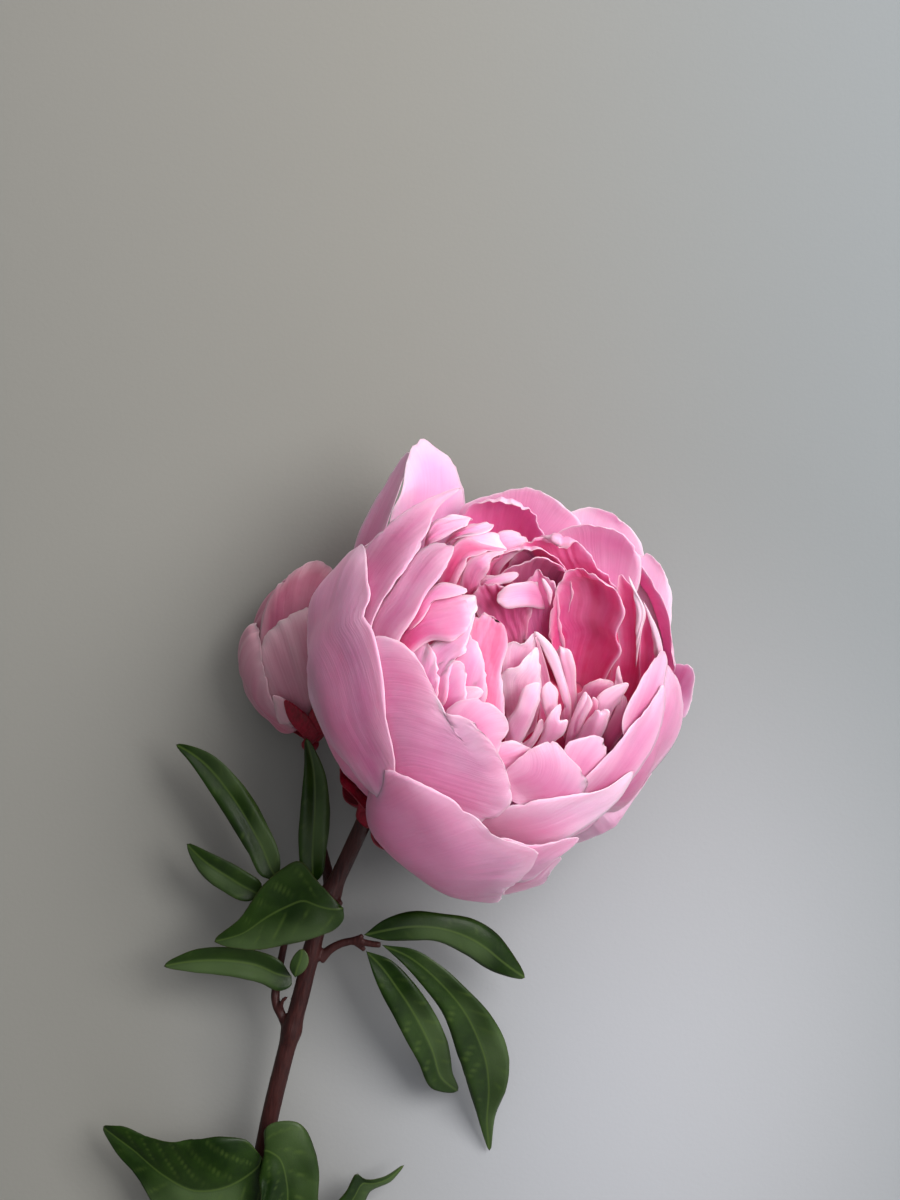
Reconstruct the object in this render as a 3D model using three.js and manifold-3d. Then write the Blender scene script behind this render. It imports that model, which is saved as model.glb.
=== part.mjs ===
// A cut peony stem, lying on a surface: one open double bloom, a half open side bud, and three leaves.
// Millimetres, +Z up from the surface, +Y along the stem from the cut end to the bloom.
import * as THREE from "three";
import { mergeVertices } from "three/addons/utils/BufferGeometryUtils.js";
import Module from "manifold-3d";

const wasm = await Module();
wasm.setup();
const { Manifold, Mesh } = wasm;

// Driving dimensions
const UNIT = 0.3; // mm for one unit of the outlines below, which are read off the view from above
const VIEW_CENTRE = [500, 690]; // the outline units under the middle of the bloom
const EYE = [-15, 27, 745]; // the view point of the outlines, above the surface
const EYE_LEVEL = 45; // height at which one outline unit is exactly UNIT
const BLOOM_HEIGHT = 54.5; // middle of the bloom above the surface
const OUTER_ROOT = [387, 798, -12]; // where the outer petals root, with its height over the bloom's middle
const DIP = 10; // how far the shells dip towards that root
const DIP_LEAN = 0.22; // how much wider than on average the bloom's shells dip on the left
const PETAL = 0.7; // thickness of a petal
const LEAF = 0.8; // thickness of a leaflet
const SEPAL = 1.2; // thickness of a sepal
const GAP = 0.35; // free space between two nodes
const STEM_TOP = 2.5; // radius of the stem under the bloom
const STEM_END = 2.9; // radius of the stem at the cut end
const ORIGIN = [-32.3, -76.4]; // the middle of the whole part's outline, under which the origin lies
const FLAT = 0.08; // how much of what lies on the surface is pressed quite flat

// Small vector helpers
const add = (a, b) => a.map((v, i) => v + b[i]);
const sub = (a, b) => a.map((v, i) => v - b[i]);
const mul = (a, k) => a.map((v) => v * k);
const dot = (a, b) => a[0] * b[0] + a[1] * b[1] + a[2] * b[2];
const len = (a) => Math.sqrt(dot(a, a));
const unit = (a) => mul(a, 1 / Math.max(len(a), 1e-9));
const cross = (a, b) => [
  a[1] * b[2] - a[2] * b[1],
  a[2] * b[0] - a[0] * b[2],
  a[0] * b[1] - a[1] * b[0],
];
const mix = (a, b, t) => a.map((v, i) => v * (1 - t) + b[i] * t);
const clamp = (x) => Math.min(1, Math.max(0, x));
const smooth = (x) => clamp(x) ** 2 * (3 - 2 * clamp(x));

// The point at height h that is seen at outline position (x, y)
function seen(x, y, h) {
  const k = 1 - (h - EYE_LEVEL) / (EYE[2] - EYE_LEVEL);
  const px = (x - VIEW_CENTRE[0]) * UNIT;
  const py = (VIEW_CENTRE[1] - y) * UNIT;
  return [EYE[0] + (px - EYE[0]) * k, EYE[1] + (py - EYE[1]) * k, h];
}

// A head of petals: its middle, how much its shells are squeezed along each axis, the radians over which
// they dip, and how much that leans
const BLOOM = { middle: [0, 0, BLOOM_HEIGHT], squeeze: [1, 1, 1], dipAngle: 0.9, lean: DIP_LEAN };
const BUD = { middle: seen(296, 652, 18), squeeze: [0.66, 1, 0.66], dipAngle: 0.72, lean: 0 };

const inHead = (head, x, y, z) =>
  sub(seen(x, y, head.middle[2] + z * head.squeeze[2]), head.middle).map((v, i) => v / head.squeeze[i]);

const BUD_ROOT = [308, 719, -2];
const ROOT_WAY = unit(inHead(BLOOM, ...OUTER_ROOT));
const LEAN_WAY = unit(sub([-1, 0, 0], mul(ROOT_WAY, -ROOT_WAY[0])));

// The radius of shell R in a direction: every shell dips alike towards the outer root, so shells never meet
function shellRadius(head, R, d) {
  const way = unit(d);
  const near = Math.min(1, dot(way, ROOT_WAY));
  const aside = dot(unit(sub(way, mul(ROOT_WAY, near))), LEAN_WAY);
  const spread = head.dipAngle * (1 + head.lean * aside);
  return R - DIP * (1 - smooth(Math.acos(near) / spread));
}

// The point of a head's shell of radius r seen at (x, y), on the near or the far half, or beside it
function onShell(head, x, y, R, isFar) {
  let z = isFar ? -R / 2 : R / 2;
  for (let i = 0; i < 12; i++) {
    const p = inHead(head, x, y, z);
    const d = shellRadius(head, R, p) ** 2 - p[0] * p[0] - p[1] * p[1];
    z = (z + (d > 0 ? Math.sqrt(d) : 0) * (isFar ? -1 : 1)) / 2;
  }
  return inHead(head, x, y, z);
}

// A smooth line through points, as [segment][sample]
function smoothLine(points, samples = 10) {
  const ext = [
    sub(mul(points[0], 2), points[1]),
    ...points,
    sub(mul(points.at(-1), 2), points.at(-2)),
  ];
  const segments = [];
  for (let i = 1; i < ext.length - 2; i++) {
    const [a, b, c, d] = ext.slice(i - 1, i + 3);
    const ab = len(sub(b, a)) + 1e-6;
    const bc = len(sub(c, b)) + 1e-6;
    const cd = len(sub(d, c)) + 1e-6;
    const m1 = add(
      mul(sub(b, a), (bc * bc) / (ab * (ab + bc))),
      mul(sub(c, b), ab / (ab + bc)),
    );
    const m2 = add(
      mul(sub(c, b), cd / (bc + cd)),
      mul(sub(d, c), (bc * bc) / (cd * (bc + cd))),
    );
    const line = [];
    for (let k = 0; k < samples; k++) {
      const t = k / samples;
      line.push(
        add(
          add(mul(b, 2 * t ** 3 - 3 * t * t + 1), mul(m1, t ** 3 - 2 * t * t + t)),
          add(mul(c, -2 * t ** 3 + 3 * t * t), mul(m2, t ** 3 - t * t)),
        ),
      );
    }
    segments.push(line);
  }
  return segments;
}

// n + 1 points evenly along a line of points
function evenly(line, n) {
  const at = [0];
  for (let i = 1; i < line.length; i++)
    at.push(at[i - 1] + len(sub(line[i], line[i - 1])));
  const out = [];
  let k = 0;
  for (let i = 0; i <= n; i++) {
    const s = (at.at(-1) * i) / n;
    while (k < line.length - 2 && at[k + 1] < s) k++;
    const t = (s - at[k]) / Math.max(at[k + 1] - at[k], 1e-9);
    out.push(mix(line[k], line[k + 1], clamp(t)));
  }
  return out;
}

// A petal or leaflet as a grid of points, in rows from its base to its tip, from the outlines of its margins.
// An outline point is [x, y] on the shell of radius R, [x, y, null] on the far half of that shell,
// or [x, y, z] with its own height above the middle of the head.
function blade(head, base, left, tip, right, o = {}) {
  const { R = null, mid = null } = o;
  const { cup = 0, fold = 0, arch = 0, nu = 8, nv = 6, rest = PETAL / 2 } = o;
  const place = (q) => {
    if (q.point) return q.point;
    const raised = q.length === 3 && q[2] !== null;
    return raised ? inHead(head, ...q) : onShell(head, q[0], q[1], R, q.length === 3);
  };
  const foot = base ? place(base) : mul(ROOT_WAY, R - DIP);
  const top = place(tip);
  const l = left.map(place);
  const r = right.map(place);
  const loop = smoothLine([foot, ...l, top, ...r.reverse(), foot]);
  const half = (segments, end) => evenly([...segments.flat(), end], nu);
  const L = half(loop.slice(0, left.length + 1), top);
  const E = half(loop.slice(left.length + 1), foot).reverse();
  const M = mid && evenly([...smoothLine([foot, ...mid.map(place), top]).flat(), top], nu);
  const widths = L.map((p, i) => len(sub(E[i], p)));
  const widest = Math.max(...widths);
  const grid = [];
  for (let i = 0; i <= nu; i++) {
    const u = i / nu;
    const row = [];
    for (let j = 0; j <= nv; j++) {
      const v = (2 * j) / nv - 1;
      const f = (v + 1) / 2;
      if (M) {
        const [a, b, c] = [(v * (v - 1)) / 2, 1 - v * v, (v * (v + 1)) / 2];
        row.push(add(add(mul(L[i], a), mul(M[i], b)), mul(E[i], c)));
      } else if (R !== null) {
        const [ra, rb] = [len(L[i]), len(E[i])];
        const [da, db] = [unit(L[i]), unit(E[i])];
        const w = Math.acos(Math.min(1, Math.max(-1, dot(da, db)))) + 1e-9;
        const d = unit(
          add(mul(da, Math.sin((1 - f) * w) / Math.sin(w)), mul(db, Math.sin(f * w) / Math.sin(w))),
        );
        const flat = ra * (1 - f) + rb * f;
        const rise = Math.max(0, shellRadius(head, R, d) - flat) * (1 - v * v);
        row.push(mul(d, flat + rise * smooth(u * (base ? 4 : 20)) * smooth((1 - u) * 6)));
      } else row.push(mix(L[i], E[i], f));
    }
    grid.push(row);
  }
  if (cup || fold || arch) {
    const n = normals(grid);
    const side = n[Math.floor(nu / 2)][Math.floor(nv / 2)][2] < 0 ? -1 : 1;
    for (let i = 1; i < nu; i++)
      for (let j = 0; j <= nv; j++) {
        const u = i / nu;
        const v = (2 * j) / nv - 1;
        const w = widths[i] / widest;
        const rise = cup * (1 - v * v) * w + fold * Math.abs(v) * w + arch * 4 * u * (1 - u);
        grid[i][j] = add(grid[i][j], mul(n[i][j], side * rise));
      }
  }
  // what would sink below the surface is pressed flat on it
  return grid.map((row) =>
    row.map((p) => {
      const q = add(head.middle, p.map((v, k) => v * head.squeeze[k]));
      return [q[0], q[1], Math.max(q[2], rest)];
    }),
  );
}

// Unit normals of a grid of points
function normals(grid) {
  const nu = grid.length - 1;
  const nv = grid[0].length - 1;
  const at = (i, j) => grid[Math.min(nu, Math.max(0, i))][Math.min(nv, Math.max(0, j))];
  const n = grid.map((row, i) =>
    row.map((_, j) => unit(cross(sub(at(i + 1, j), at(i - 1, j)), sub(at(i, j + 1), at(i, j - 1))))),
  );
  n[0] = n[1];
  n[nu] = n[nu - 1];
  return n;
}

// A solid of some points and triangles, turned so that its faces point outwards
function solidOf(points, faces) {
  const build = (triangles) =>
    new Manifold(
      new Mesh({
        numProp: 3,
        vertProperties: new Float32Array(points),
        triVerts: new Uint32Array(triangles),
      }),
    );
  const made = build(faces);
  return made.volume() < 0 ? build([...faces].reverse()) : made;
}

// A closed three.js geometry as a solid
function fromGeometry(geometry) {
  geometry.deleteAttribute("normal");
  geometry.deleteAttribute("uv");
  const merged = mergeVertices(geometry);
  return solidOf(merged.attributes.position.array, merged.index.array);
}

const ball = (p, r, sides = 12) => fromGeometry(new THREE.SphereGeometry(r, sides, sides / 2)).translate(p);

// A closed solid of even thickness round a grid that comes to a point at its base and its tip
function sheet(grid, thickness) {
  const nu = grid.length - 1;
  const nv = grid[0].length - 1;
  const n = normals(grid);
  const points = [];
  const faces = [];
  const put = (p) => points.push(...p) / 3 - 1;
  const face = (side) =>
    grid.map((row, i) => {
      const lift = (j) => add(row[j], mul(n[i][j], (side * thickness) / 2));
      if (i === 0 || i === nu) {
        const one = put(lift(nv / 2));
        return row.map(() => one);
      }
      return row.map((_, j) => put(lift(j)));
    });
  const front = face(1);
  const back = face(-1);
  const tri = (a, b, c) => {
    if (a !== b && b !== c && a !== c) faces.push(a, b, c);
  };
  for (let i = 0; i < nu; i++)
    for (let j = 0; j < nv; j++) {
      const flip = (i + j) % 2;
      for (const [g, turn] of [[front, false], [back, true]]) {
        const [a, b, c, d] = [g[i][j], g[i + 1][j], g[i + 1][j + 1], g[i][j + 1]];
        const split = i > 0 && (i === nu - 1 || flip) ? [[a, b, d], [b, c, d]] : [[a, b, c], [a, c, d]];
        for (const [p, q, r] of split) turn ? tri(p, r, q) : tri(p, q, r);
      }
    }
  for (let i = 0; i < nu; i++)
    for (const [j, turn] of [[0, true], [nv, false]]) {
      const [a, b, c, d] = [front[i][j], front[i + 1][j], back[i + 1][j], back[i][j]];
      for (const [p, q, r] of [[a, b, c], [a, c, d]]) turn ? tri(p, r, q) : tri(p, q, r);
    }
  return solidOf(points, faces);
}

// A round rod along a smooth line of [x, y, height] with its own radius at each point
function rod(points, radii, sides, steps, samples = 10) {
  const line = evenly([...smoothLine(points, samples).flat(), points.at(-1)], steps);
  const pointsOut = [];
  const faces = [];
  let across = unit(cross(sub(line[1], line[0]), [0, 0, 1]));
  line.forEach((p, i) => {
    const d = unit(sub(line[Math.min(i + 1, steps)], line[Math.max(i - 1, 0)]));
    across = unit(sub(across, mul(d, dot(across, d))));
    const up = cross(across, d);
    const f = (i / steps) * (radii.length - 1);
    const k = Math.min(radii.length - 2, Math.floor(f));
    const r = radii[k] + (radii[k + 1] - radii[k]) * (f - k);
    for (let s = 0; s < sides; s++) {
      const a = (2 * Math.PI * s) / sides;
      pointsOut.push(...add(p, add(mul(across, r * Math.cos(a)), mul(up, r * Math.sin(a)))));
    }
  });
  for (let i = 0; i < steps; i++)
    for (let s = 0; s < sides; s++) {
      const t = (s + 1) % sides;
      const [a, b, c, d] = [i * sides + s, i * sides + t, (i + 1) * sides + t, (i + 1) * sides + s];
      faces.push(a, b, c, a, c, d);
    }
  for (let s = 1; s < sides - 1; s++) {
    faces.push(0, s + 1, s);
    const e = steps * sides;
    faces.push(e, e + s, e + s + 1);
  }
  return solidOf(pointsOut, faces);
}

const FAR = null; // marks an outline point on the far half of its shell

const outerFree = []; // the outer petals again, with the free space round them
// A blade's grid with its two margins moved outwards
const widened = (grid, by) =>
  grid.map((row) =>
    row.map((p, j) => {
      const next = row[j === 0 ? 1 : j - 1];
      return j === 0 || j === row.length - 1 ? add(p, mul(unit(sub(p, next)), by)) : p;
    }),
  );
const outer = (base, left, tip, right, R, o = {}) => {
  const grid = blade(BLOOM, base, left, tip, right, { R, nu: 7, nv: 4, ...o });
  outerFree.push(sheet(widened(grid, 3 * GAP), PETAL + 4 * GAP));
  return sheet(grid, PETAL);
};
const inner = (base, left, tip, right, R, o = {}) =>
  sheet(blade(BLOOM, base, left, tip, right, { R, nu: 5, nv: 4, ...o }), PETAL);
const heart = (base, left, tip, right, cup, o = {}) =>
  sheet(blade(BLOOM, base, left, tip, right, { cup, nu: 4, nv: 2, ...o }), PETAL);
// A root sunk in the shell of radius R of the petal that lies over it
const sunk = (x, y, R, half) => ({ point: onShell(BLOOM, x, y, R, half === FAR) });

// Outer petals, seen from outside on the near side, then round the far rim, then underneath.
// Those without a root of their own grow from the receptacle.
const outerPetals = [
  outer(
    null, [[360, 783, FAR], [333, 752, FAR], [311, 690, FAR], [312, 600, FAR]], [350, 549],
    [[394, 770], [387, 715], [379, 664], [366, 616], [368, 590]], 58.4,
  ),
  outer(
    null, [[372, 760], [356, 705], [356, 655], [374, 637], [402, 643], [421, 662]], [437, 694],
    [[440, 818], [485, 822], [512, 803], [501, 758], [485, 733], [466, 717], [443, 713]], 56.6,
  ),
  outer(
    null, [[415, 780], [453, 800], [472, 815], [501, 838]], [538, 853],
    [[370, 815, FAR], [390, 850, FAR], [432, 880, FAR], [480, 897, FAR], [510, 888], [528, 872]], 62,
  ),
  outer(
    sunk(455, 765, 56.6), [[440, 735], [452, 705], [475, 698]], [508, 722], [[480, 778], [498, 752]], 54.9,
  ),
  outer(
    sunk(480, 850, 61.2), [[500, 838], [530, 845]], [579, 838], [[500, 880], [525, 881], [553, 862]], 59.6,
  ),
  outer(
    sunk(490, 876, 59.6), [[515, 858], [540, 855]], [561, 857], [[510, 893], [530, 888], [550, 873]], 58.1,
  ),
  outer(
    sunk(445, 818, 56.6), [[480, 812], [520, 803], [563, 796], [607, 787]], [634, 772],
    [[470, 850], [530, 852], [584, 827], [620, 798]], 54.8,
  ),
  outer(
    sunk(500, 795, 56.6), [[503, 775], [516, 761], [532, 748]], [552, 741],
    [[540, 812], [580, 805], [588, 785], [570, 758]], 53.2,
  ),
  outer(
    sunk(562, 792, 53.2), [[560, 765], [568, 743], [584, 737]], [603, 738],
    [[585, 790], [602, 775], [606, 750]], 51.7,
  ),
  outer(
    sunk(570, 815, 54.8), [[575, 790], [587, 775], [605, 758], [638, 717], [652, 702]], [664, 684],
    [[605, 808], [635, 775], [654, 745], [663, 715]], 53.2,
  ),
  outer(
    sunk(628, 752, 53.2), [[622, 722], [634, 692], [645, 673]], [665, 652], [[645, 735], [664, 690]], 51.7,
  ),
  outer(
    sunk(600, 803, 53.2), [[630, 765], [648, 725], [658, 695]], [668, 666, 6],
    [[621, 806, 4], [652, 772, 2], [680, 729, -3], [683, 700, -3]], 50.2,
  ),
  outer(
    sunk(640, 700, 55.5, FAR), [[670, 740, -22], [690, 705, -18]], [690, 665, -10],
    [[650, 670, -30], [670, 664, -18]], 58,
  ),
  outer(
    sunk(345, 605, 55.5, FAR), [[350, 570, -18], [362, 520, -14], [382, 482, -13]], [424, 440, -10],
    [[385, 570, 2], [392, 518, 5], [399, 480, 1], [406, 455, -5]], 58,
    { mid: [[430, 580, -20], [462, 520, -16], [462, 482, -14], [447, 452, -12]] },
  ),
  outer(
    sunk(348, 665, 58.4), [[340, 625], [342, 595], [357, 560, 10], [380, 531, 14], [420, 503, 16]],
    [461, 488, 10], [[370, 655], [372, 625], [394, 587], [410, 563, 32], [424, 541, 27], [438, 508, 18]],
    56.8,
  ),
  outer(
    sunk(372, 665, 56.6), [[366, 625], [392, 587], [419, 551], [437, 543]], [453, 545],
    [[390, 660], [402, 636], [417, 614], [426, 594], [441, 576], [450, 560]], 55.1,
  ),
  outer(
    sunk(470, 590, 54.3, FAR), [[432, 550, FAR], [462, 508, -12], [492, 495, -3]], [531, 489, 1],
    [[560, 560, FAR], [584, 530, -12], [562, 505, -3]], 61.2,
  ),
  outer(
    sunk(565, 590, 54.3, FAR), [[548, 545, FAR], [568, 512, -16], [586, 508, -12]], [612, 516, -9],
    [[640, 585, FAR], [642, 552, -17], [630, 530, -11]], 59.6,
  ),
  outer(
    sunk(575, 610, 54.3, FAR), [[544, 575, -28], [552, 535, 2], [570, 526, 12]], [594, 525, 15],
    [[636, 605, -22], [640, 556, 5], [625, 536, 14]], 56,
  ),
  outer(
    sunk(620, 640, 55.5, FAR), [[620, 590, -34], [641, 553, -10]], [656, 561, -6],
    [[655, 660, -30], [670, 600, -10], [666, 576, -7]], 58.1,
  ),
  outer(
    null, [[352, 770, FAR], [325, 700, FAR], [325, 610, FAR], [355, 555, FAR]], [410, 525, FAR],
    [[400, 740, FAR], [430, 650, FAR], [450, 570, FAR]], 55.8,
  ),
  outer(
    null, [[385, 750, FAR], [410, 650, FAR], [430, 570, FAR]], [530, 520, FAR],
    [[430, 760, FAR], [520, 690, FAR], [600, 600, FAR], [590, 545, FAR]], 54.3,
  ),
  outer(
    null, [[400, 770, FAR], [480, 700, FAR], [570, 610, FAR]], [655, 610, FAR],
    [[430, 800, FAR], [540, 780, FAR], [630, 740, FAR], [672, 670, FAR]], 55.8,
  ),
  outer(
    null, [[400, 790, FAR], [500, 770, FAR], [580, 745, FAR]], [615, 790, FAR],
    [[385, 835, FAR], [430, 860, FAR], [500, 862, FAR], [565, 835, FAR]], 54.3,
  ),
  outer(
    sunk(585, 715, 55.8, FAR), [[620, 645, FAR], [655, 640, FAR], [671, 670, FAR]], [676, 706, -6],
    [[600, 790, FAR], [648, 775, -12], [668, 743, -3]], 53.1, { nu: 6 },
  ),
  outer(
    sunk(570, 640, 54.3, FAR), [[600, 575, FAR], [640, 565, FAR], [665, 605, 0]], [672, 648, 8],
    [[625, 705, FAR], [660, 700, FAR], [672, 680, -6]], 51.9, { nu: 6 },
  ),
  outer(
    sunk(545, 765, 55.8, FAR), [[600, 735, FAR], [646, 750, -18], [652, 768, -8], [634, 796, 5]],
    [600, 813, 17], [[520, 838, FAR], [554, 845, -2], [580, 829, 10]], 51.9, { nu: 6 },
  ),
];

// Inner petals of the near side, deeper pink. They root in the core or in the petal beside them.
const innerPetals = [
  inner(
    [447, 738, -11], [[392, 680], [402, 633], [432, 607], [455, 598]], [467, 598],
    [[415, 690], [424, 648], [445, 636], [463, 620]], 51.9,
  ),
  inner(
    sunk(418, 642, 51.9), [[412, 612], [422, 595], [438, 584]], [466, 592], [[436, 628], [450, 602]], 53.2,
  ),
  inner(
    sunk(405, 682, 51.9), [[396, 665], [402, 648], [418, 642], [437, 640]], [458, 661],
    [[430, 718], [458, 715], [475, 700], [465, 682]], 50.5,
  ),
  inner(sunk(445, 712, 50.5), [[440, 693], [455, 682]], [480, 690], [[467, 722], [482, 705]], 49.1),
  inner(
    sunk(437, 690, 50.5), [[442, 668], [448, 650], [458, 638]], [467, 632],
    [[458, 690], [466, 668], [471, 648]], 48.8,
  ),
  inner(sunk(458, 655, 48.8), [[455, 635], [465, 608]], [473, 596], [[472, 640], [479, 608]], 50),
  inner(
    [475, 728, -5], [[445, 700], [452, 660], [462, 636], [471, 617]], [488, 613],
    [[485, 745], [502, 718], [499, 690], [503, 655], [507, 635]], 47.2,
  ),
  inner([500, 768, -10], [[475, 752], [500, 742]], [530, 748], [[490, 775], [515, 768]], 50.2),
  inner(
    [458, 640, -4], [[436, 600], [447, 556], [463, 532], [478, 524]], [493, 523],
    [[462, 610], [472, 570], [482, 550], [492, 535]], 49.2,
  ),
  inner(
    sunk(452, 592, 49.2), [[438, 582], [452, 548]], [462, 537], [[468, 595], [472, 575], [470, 550]], 50.6,
  ),
  inner(
    sunk(443, 588, 49.2), [[415, 560], [420, 540], [440, 520], [460, 515]], [474, 519],
    [[452, 555], [466, 532]], 52,
  ),
  inner(sunk(463, 580, 49.2), [[466, 560], [482, 546]], [505, 549], [[484, 580], [497, 560]], 48),
  inner(
    sunk(478, 574, 48), [[480, 552], [492, 535], [512, 532]], [527, 540],
    [[500, 580], [510, 565], [518, 552]], 46.8,
  ),
];

// Petals of the heart, which stand out of a core: the near cluster, the right cluster, the far wall,
// and the small middle ones
const heartPetals = [
  heart(
    [515, 735, -4], [[495, 700, 34], [498, 660, 42], [503, 643, 44]], [518, 641, 44],
    [[530, 700, 30], [540, 660, 38], [534, 642, 42]], 3,
  ),
  heart(
    [512, 748, -6], [[497, 722, 30], [499, 695, 40], [498, 672, 44], [512, 664, 46], [521, 655, 46]],
    [534, 645, 45], [[520, 725, 26], [534, 695, 36], [541, 680, 40], [539, 660, 42]], 4,
  ),
  heart(
    [572, 744, -5], [[568, 725, 20], [560, 695, 34], [550, 665, 40], [541, 645, 42]], [534, 631, 44],
    [[576, 722, 20], [567, 692, 33], [557, 660, 38], [546, 640, 41]], 1,
  ),
  heart(
    [550, 742, -4], [[538, 725, 24], [539, 690, 36], [538, 660, 40]], [535, 632, 43],
    [[560, 725, 16], [551, 690, 26], [543, 655, 35]], -2,
  ),
  heart(
    [570, 728, -2], [[562, 710, 12], [558, 675, 24], [555, 655, 29]], [563, 645, 31],
    [[575, 710, 12], [576, 675, 24], [573, 655, 29]], 2,
  ),
  heart(
    [520, 760, -8], [[500, 745, 34], [507, 720, 42], [519, 697, 44]], [537, 683, 43],
    [[523, 750, 32], [532, 722, 38], [542, 703, 40]], 4,
  ),
  heart(
    [556, 752, -6], [[552, 740, 24], [543, 712, 34], [541, 693, 38]], [550, 680, 40],
    [[560, 740, 22], [558, 706, 32], [556, 688, 37]], 2,
  ),
  heart(
    [545, 762, -8], [[525, 752, 30], [540, 735, 34], [549, 716, 37], [555, 706, 38]], [562, 704, 37],
    [[545, 760, 26], [561, 740, 32], [569, 722, 34], [566, 711, 36]], 2,
  ),
  heart(
    [532, 756, -7], [[518, 750, 28], [530, 735, 32], [537, 715, 36]], [543, 702, 37],
    [[535, 752, 26], [543, 732, 30], [548, 715, 34]], 1,
  ),
  heart(
    [572, 757, -7], [[562, 750, 20], [571, 730, 28], [577, 708, 33]], [587, 691, 36],
    [[580, 745, 20], [592, 715, 29], [594, 699, 33]], 3,
  ),
  heart(
    [592, 743, -6], [[582, 735, 18], [594, 708, 28], [603, 691, 31]], [628, 685, 32],
    [[602, 740, 18], [614, 712, 28], [623, 700, 31]], 3,
  ),
  heart(
    [586, 728, -3], [[568, 715, 8], [573, 700, 18], [582, 686, 22]], [600, 679, 24],
    [[600, 722, 8], [614, 705, 18], [613, 688, 23]], 3,
  ),
  heart(
    [581, 758, -8], [[565, 755, 22], [576, 733, 30], [592, 715, 34]], [605, 709, 36],
    [[595, 758, 22], [606, 735, 30], [609, 717, 34]], 3,
  ),
  heart(
    [600, 748, -9], [[595, 750, 16], [605, 730, 24], [614, 718, 27]], [628, 715, 29],
    [[612, 752, 16], [622, 735, 24], [630, 721, 27]], 2,
  ),
  heart(
    [609, 735, -9], [[606, 730, 12], [612, 712, 20]], [622, 700, 25], [[620, 732, 12], [628, 712, 20]], 2,
  ),
  heart(
    [610, 718, -5], [[608, 710, 10], [613, 690, 22], [616, 675, 28]], [619, 665, 31],
    [[620, 710, 10], [622, 690, 22], [620, 675, 28]], 1,
  ),
  heart(
    [582, 702, 1], [[553, 680, 6], [545, 655, 12], [552, 612, 22], [561, 582, 28]], [581, 567, 31],
    [
      [600, 690, 10], [612, 670, 17], [620, 650, 23], [616, 640, 25], [623, 615, 28], [617, 592, 30],
      [602, 582, 30],
    ],
    -8, { nu: 8, nv: 4 },
  ),
  heart(
    [604, 722, -4], [[605, 700, 4], [618, 640, 14], [616, 600, 22]], [625, 577, 27],
    [[625, 715, 4], [638, 700, 12], [641, 645, 20], [637, 600, 26]], -3,
  ),
  heart(
    [612, 718, -5], [[630, 702, 10], [639, 650, 24], [638, 610, 29]], [629, 577, 30],
    [[645, 710, 14], [646, 650, 25], [646, 615, 29], [638, 592, 31]], 1,
  ),
  heart(
    [616, 725, -7], [[632, 705, 6], [640, 650, 16], [638, 615, 22]], [643, 601, 26],
    [[650, 715, 10], [656, 660, 18], [651, 625, 24]], -3,
  ),
  heart(
    [548, 640, 2], [[512, 610, 10], [516, 552, 24], [530, 539, 27]], [545, 536, 28],
    [[602, 640, 10], [613, 581, 25], [598, 566, 27], [588, 552, 28], [577, 541, 28], [564, 548, 28]], -6,
    { nu: 8, nv: 4 },
  ),
  heart(
    [530, 640, 3], [[488, 605, 14], [490, 562, 26], [506, 553, 29]], [525, 549, 30],
    [[566, 610, 14], [564, 566, 27], [546, 552, 30]], -6, { nv: 4 },
  ),
  heart(
    [535, 648, 4], [[500, 612, 14], [503, 573, 27], [520, 564, 30]], [543, 558, 32],
    [[566, 620, 14], [568, 575, 27], [560, 565, 30]], -5, { nv: 4 },
  ),
  heart(
    [480, 620, -2], [[440, 590, -4], [448, 555, 2], [466, 520, 10], [482, 507, 14]], [506, 503, 16],
    [[525, 600, -2], [546, 570, 6], [543, 537, 14], [531, 512, 16]], -8, { nu: 8, nv: 4 },
  ),
  heart(
    [545, 655, 4], [[530, 640, 14], [528, 620, 20], [530, 590, 27]], [543, 572, 31],
    [[560, 640, 14], [561, 620, 18], [558, 590, 27]], 4,
  ),
  heart(
    [488, 640, 1], [[467, 625, 24], [465, 604, 31], [470, 588, 35], [478, 577, 37]], [499, 573, 38],
    [[510, 620, 22], [520, 592, 32], [518, 576, 37]], 3,
  ),
  heart(
    [515, 648, 3], [[502, 632, 16], [502, 612, 26], [497, 600, 33], [502, 589, 36]], [515, 584, 37],
    [[530, 632, 16], [531, 612, 26], [532, 603, 32], [529, 590, 36]], 4,
  ),
  heart(
    [500, 655, 2], [[476, 640, 12], [470, 620, 18], [474, 595, 28]], [500, 584, 31],
    [[524, 640, 12], [531, 620, 16], [530, 597, 28]], -3,
  ),
];

const middle = (q) => add(inHead(BLOOM, ...q), BLOOM.middle);
// The largest body of a solid, with any pocket sealed inside it filled
const body = (solid) => solid.simplify(0.03).decompose().sort((a, b) => b.volume() - a.volume())[0];
const rootPoint = (k) => add(BLOOM.middle, mul(ROOT_WAY, k));
// Everything below the surface
const floorCut = fromGeometry(new THREE.BoxGeometry(600, 600, 100)).translate([0, 0, -50]);

// The receptacle, in which the outer petals root, and the core in the middle of the flower for the inner ones
const receptacleOf = (free) =>
  rod([rootPoint(52 + free), rootPoint(46), rootPoint(39)], [4.5 + free, 7 + free, 4.5 + free], 12, 4);
const receptacle = receptacleOf(0);
const outerBloom = body(Manifold.union([receptacle, ...outerPetals]).subtract(floorCut));
const core = ball([0, 0, 0], 1, 24).scale([31, 33, 21]).translate(middle([535, 675, -14]));
const neck = rod([rootPoint(35.8), middle([450, 745, -13]), middle([490, 710, -14])], [4, 7, 9], 10, 3);
const innerBloom = body(Manifold.union([neck, core, ...innerPetals, ...heartPetals]));

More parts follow.
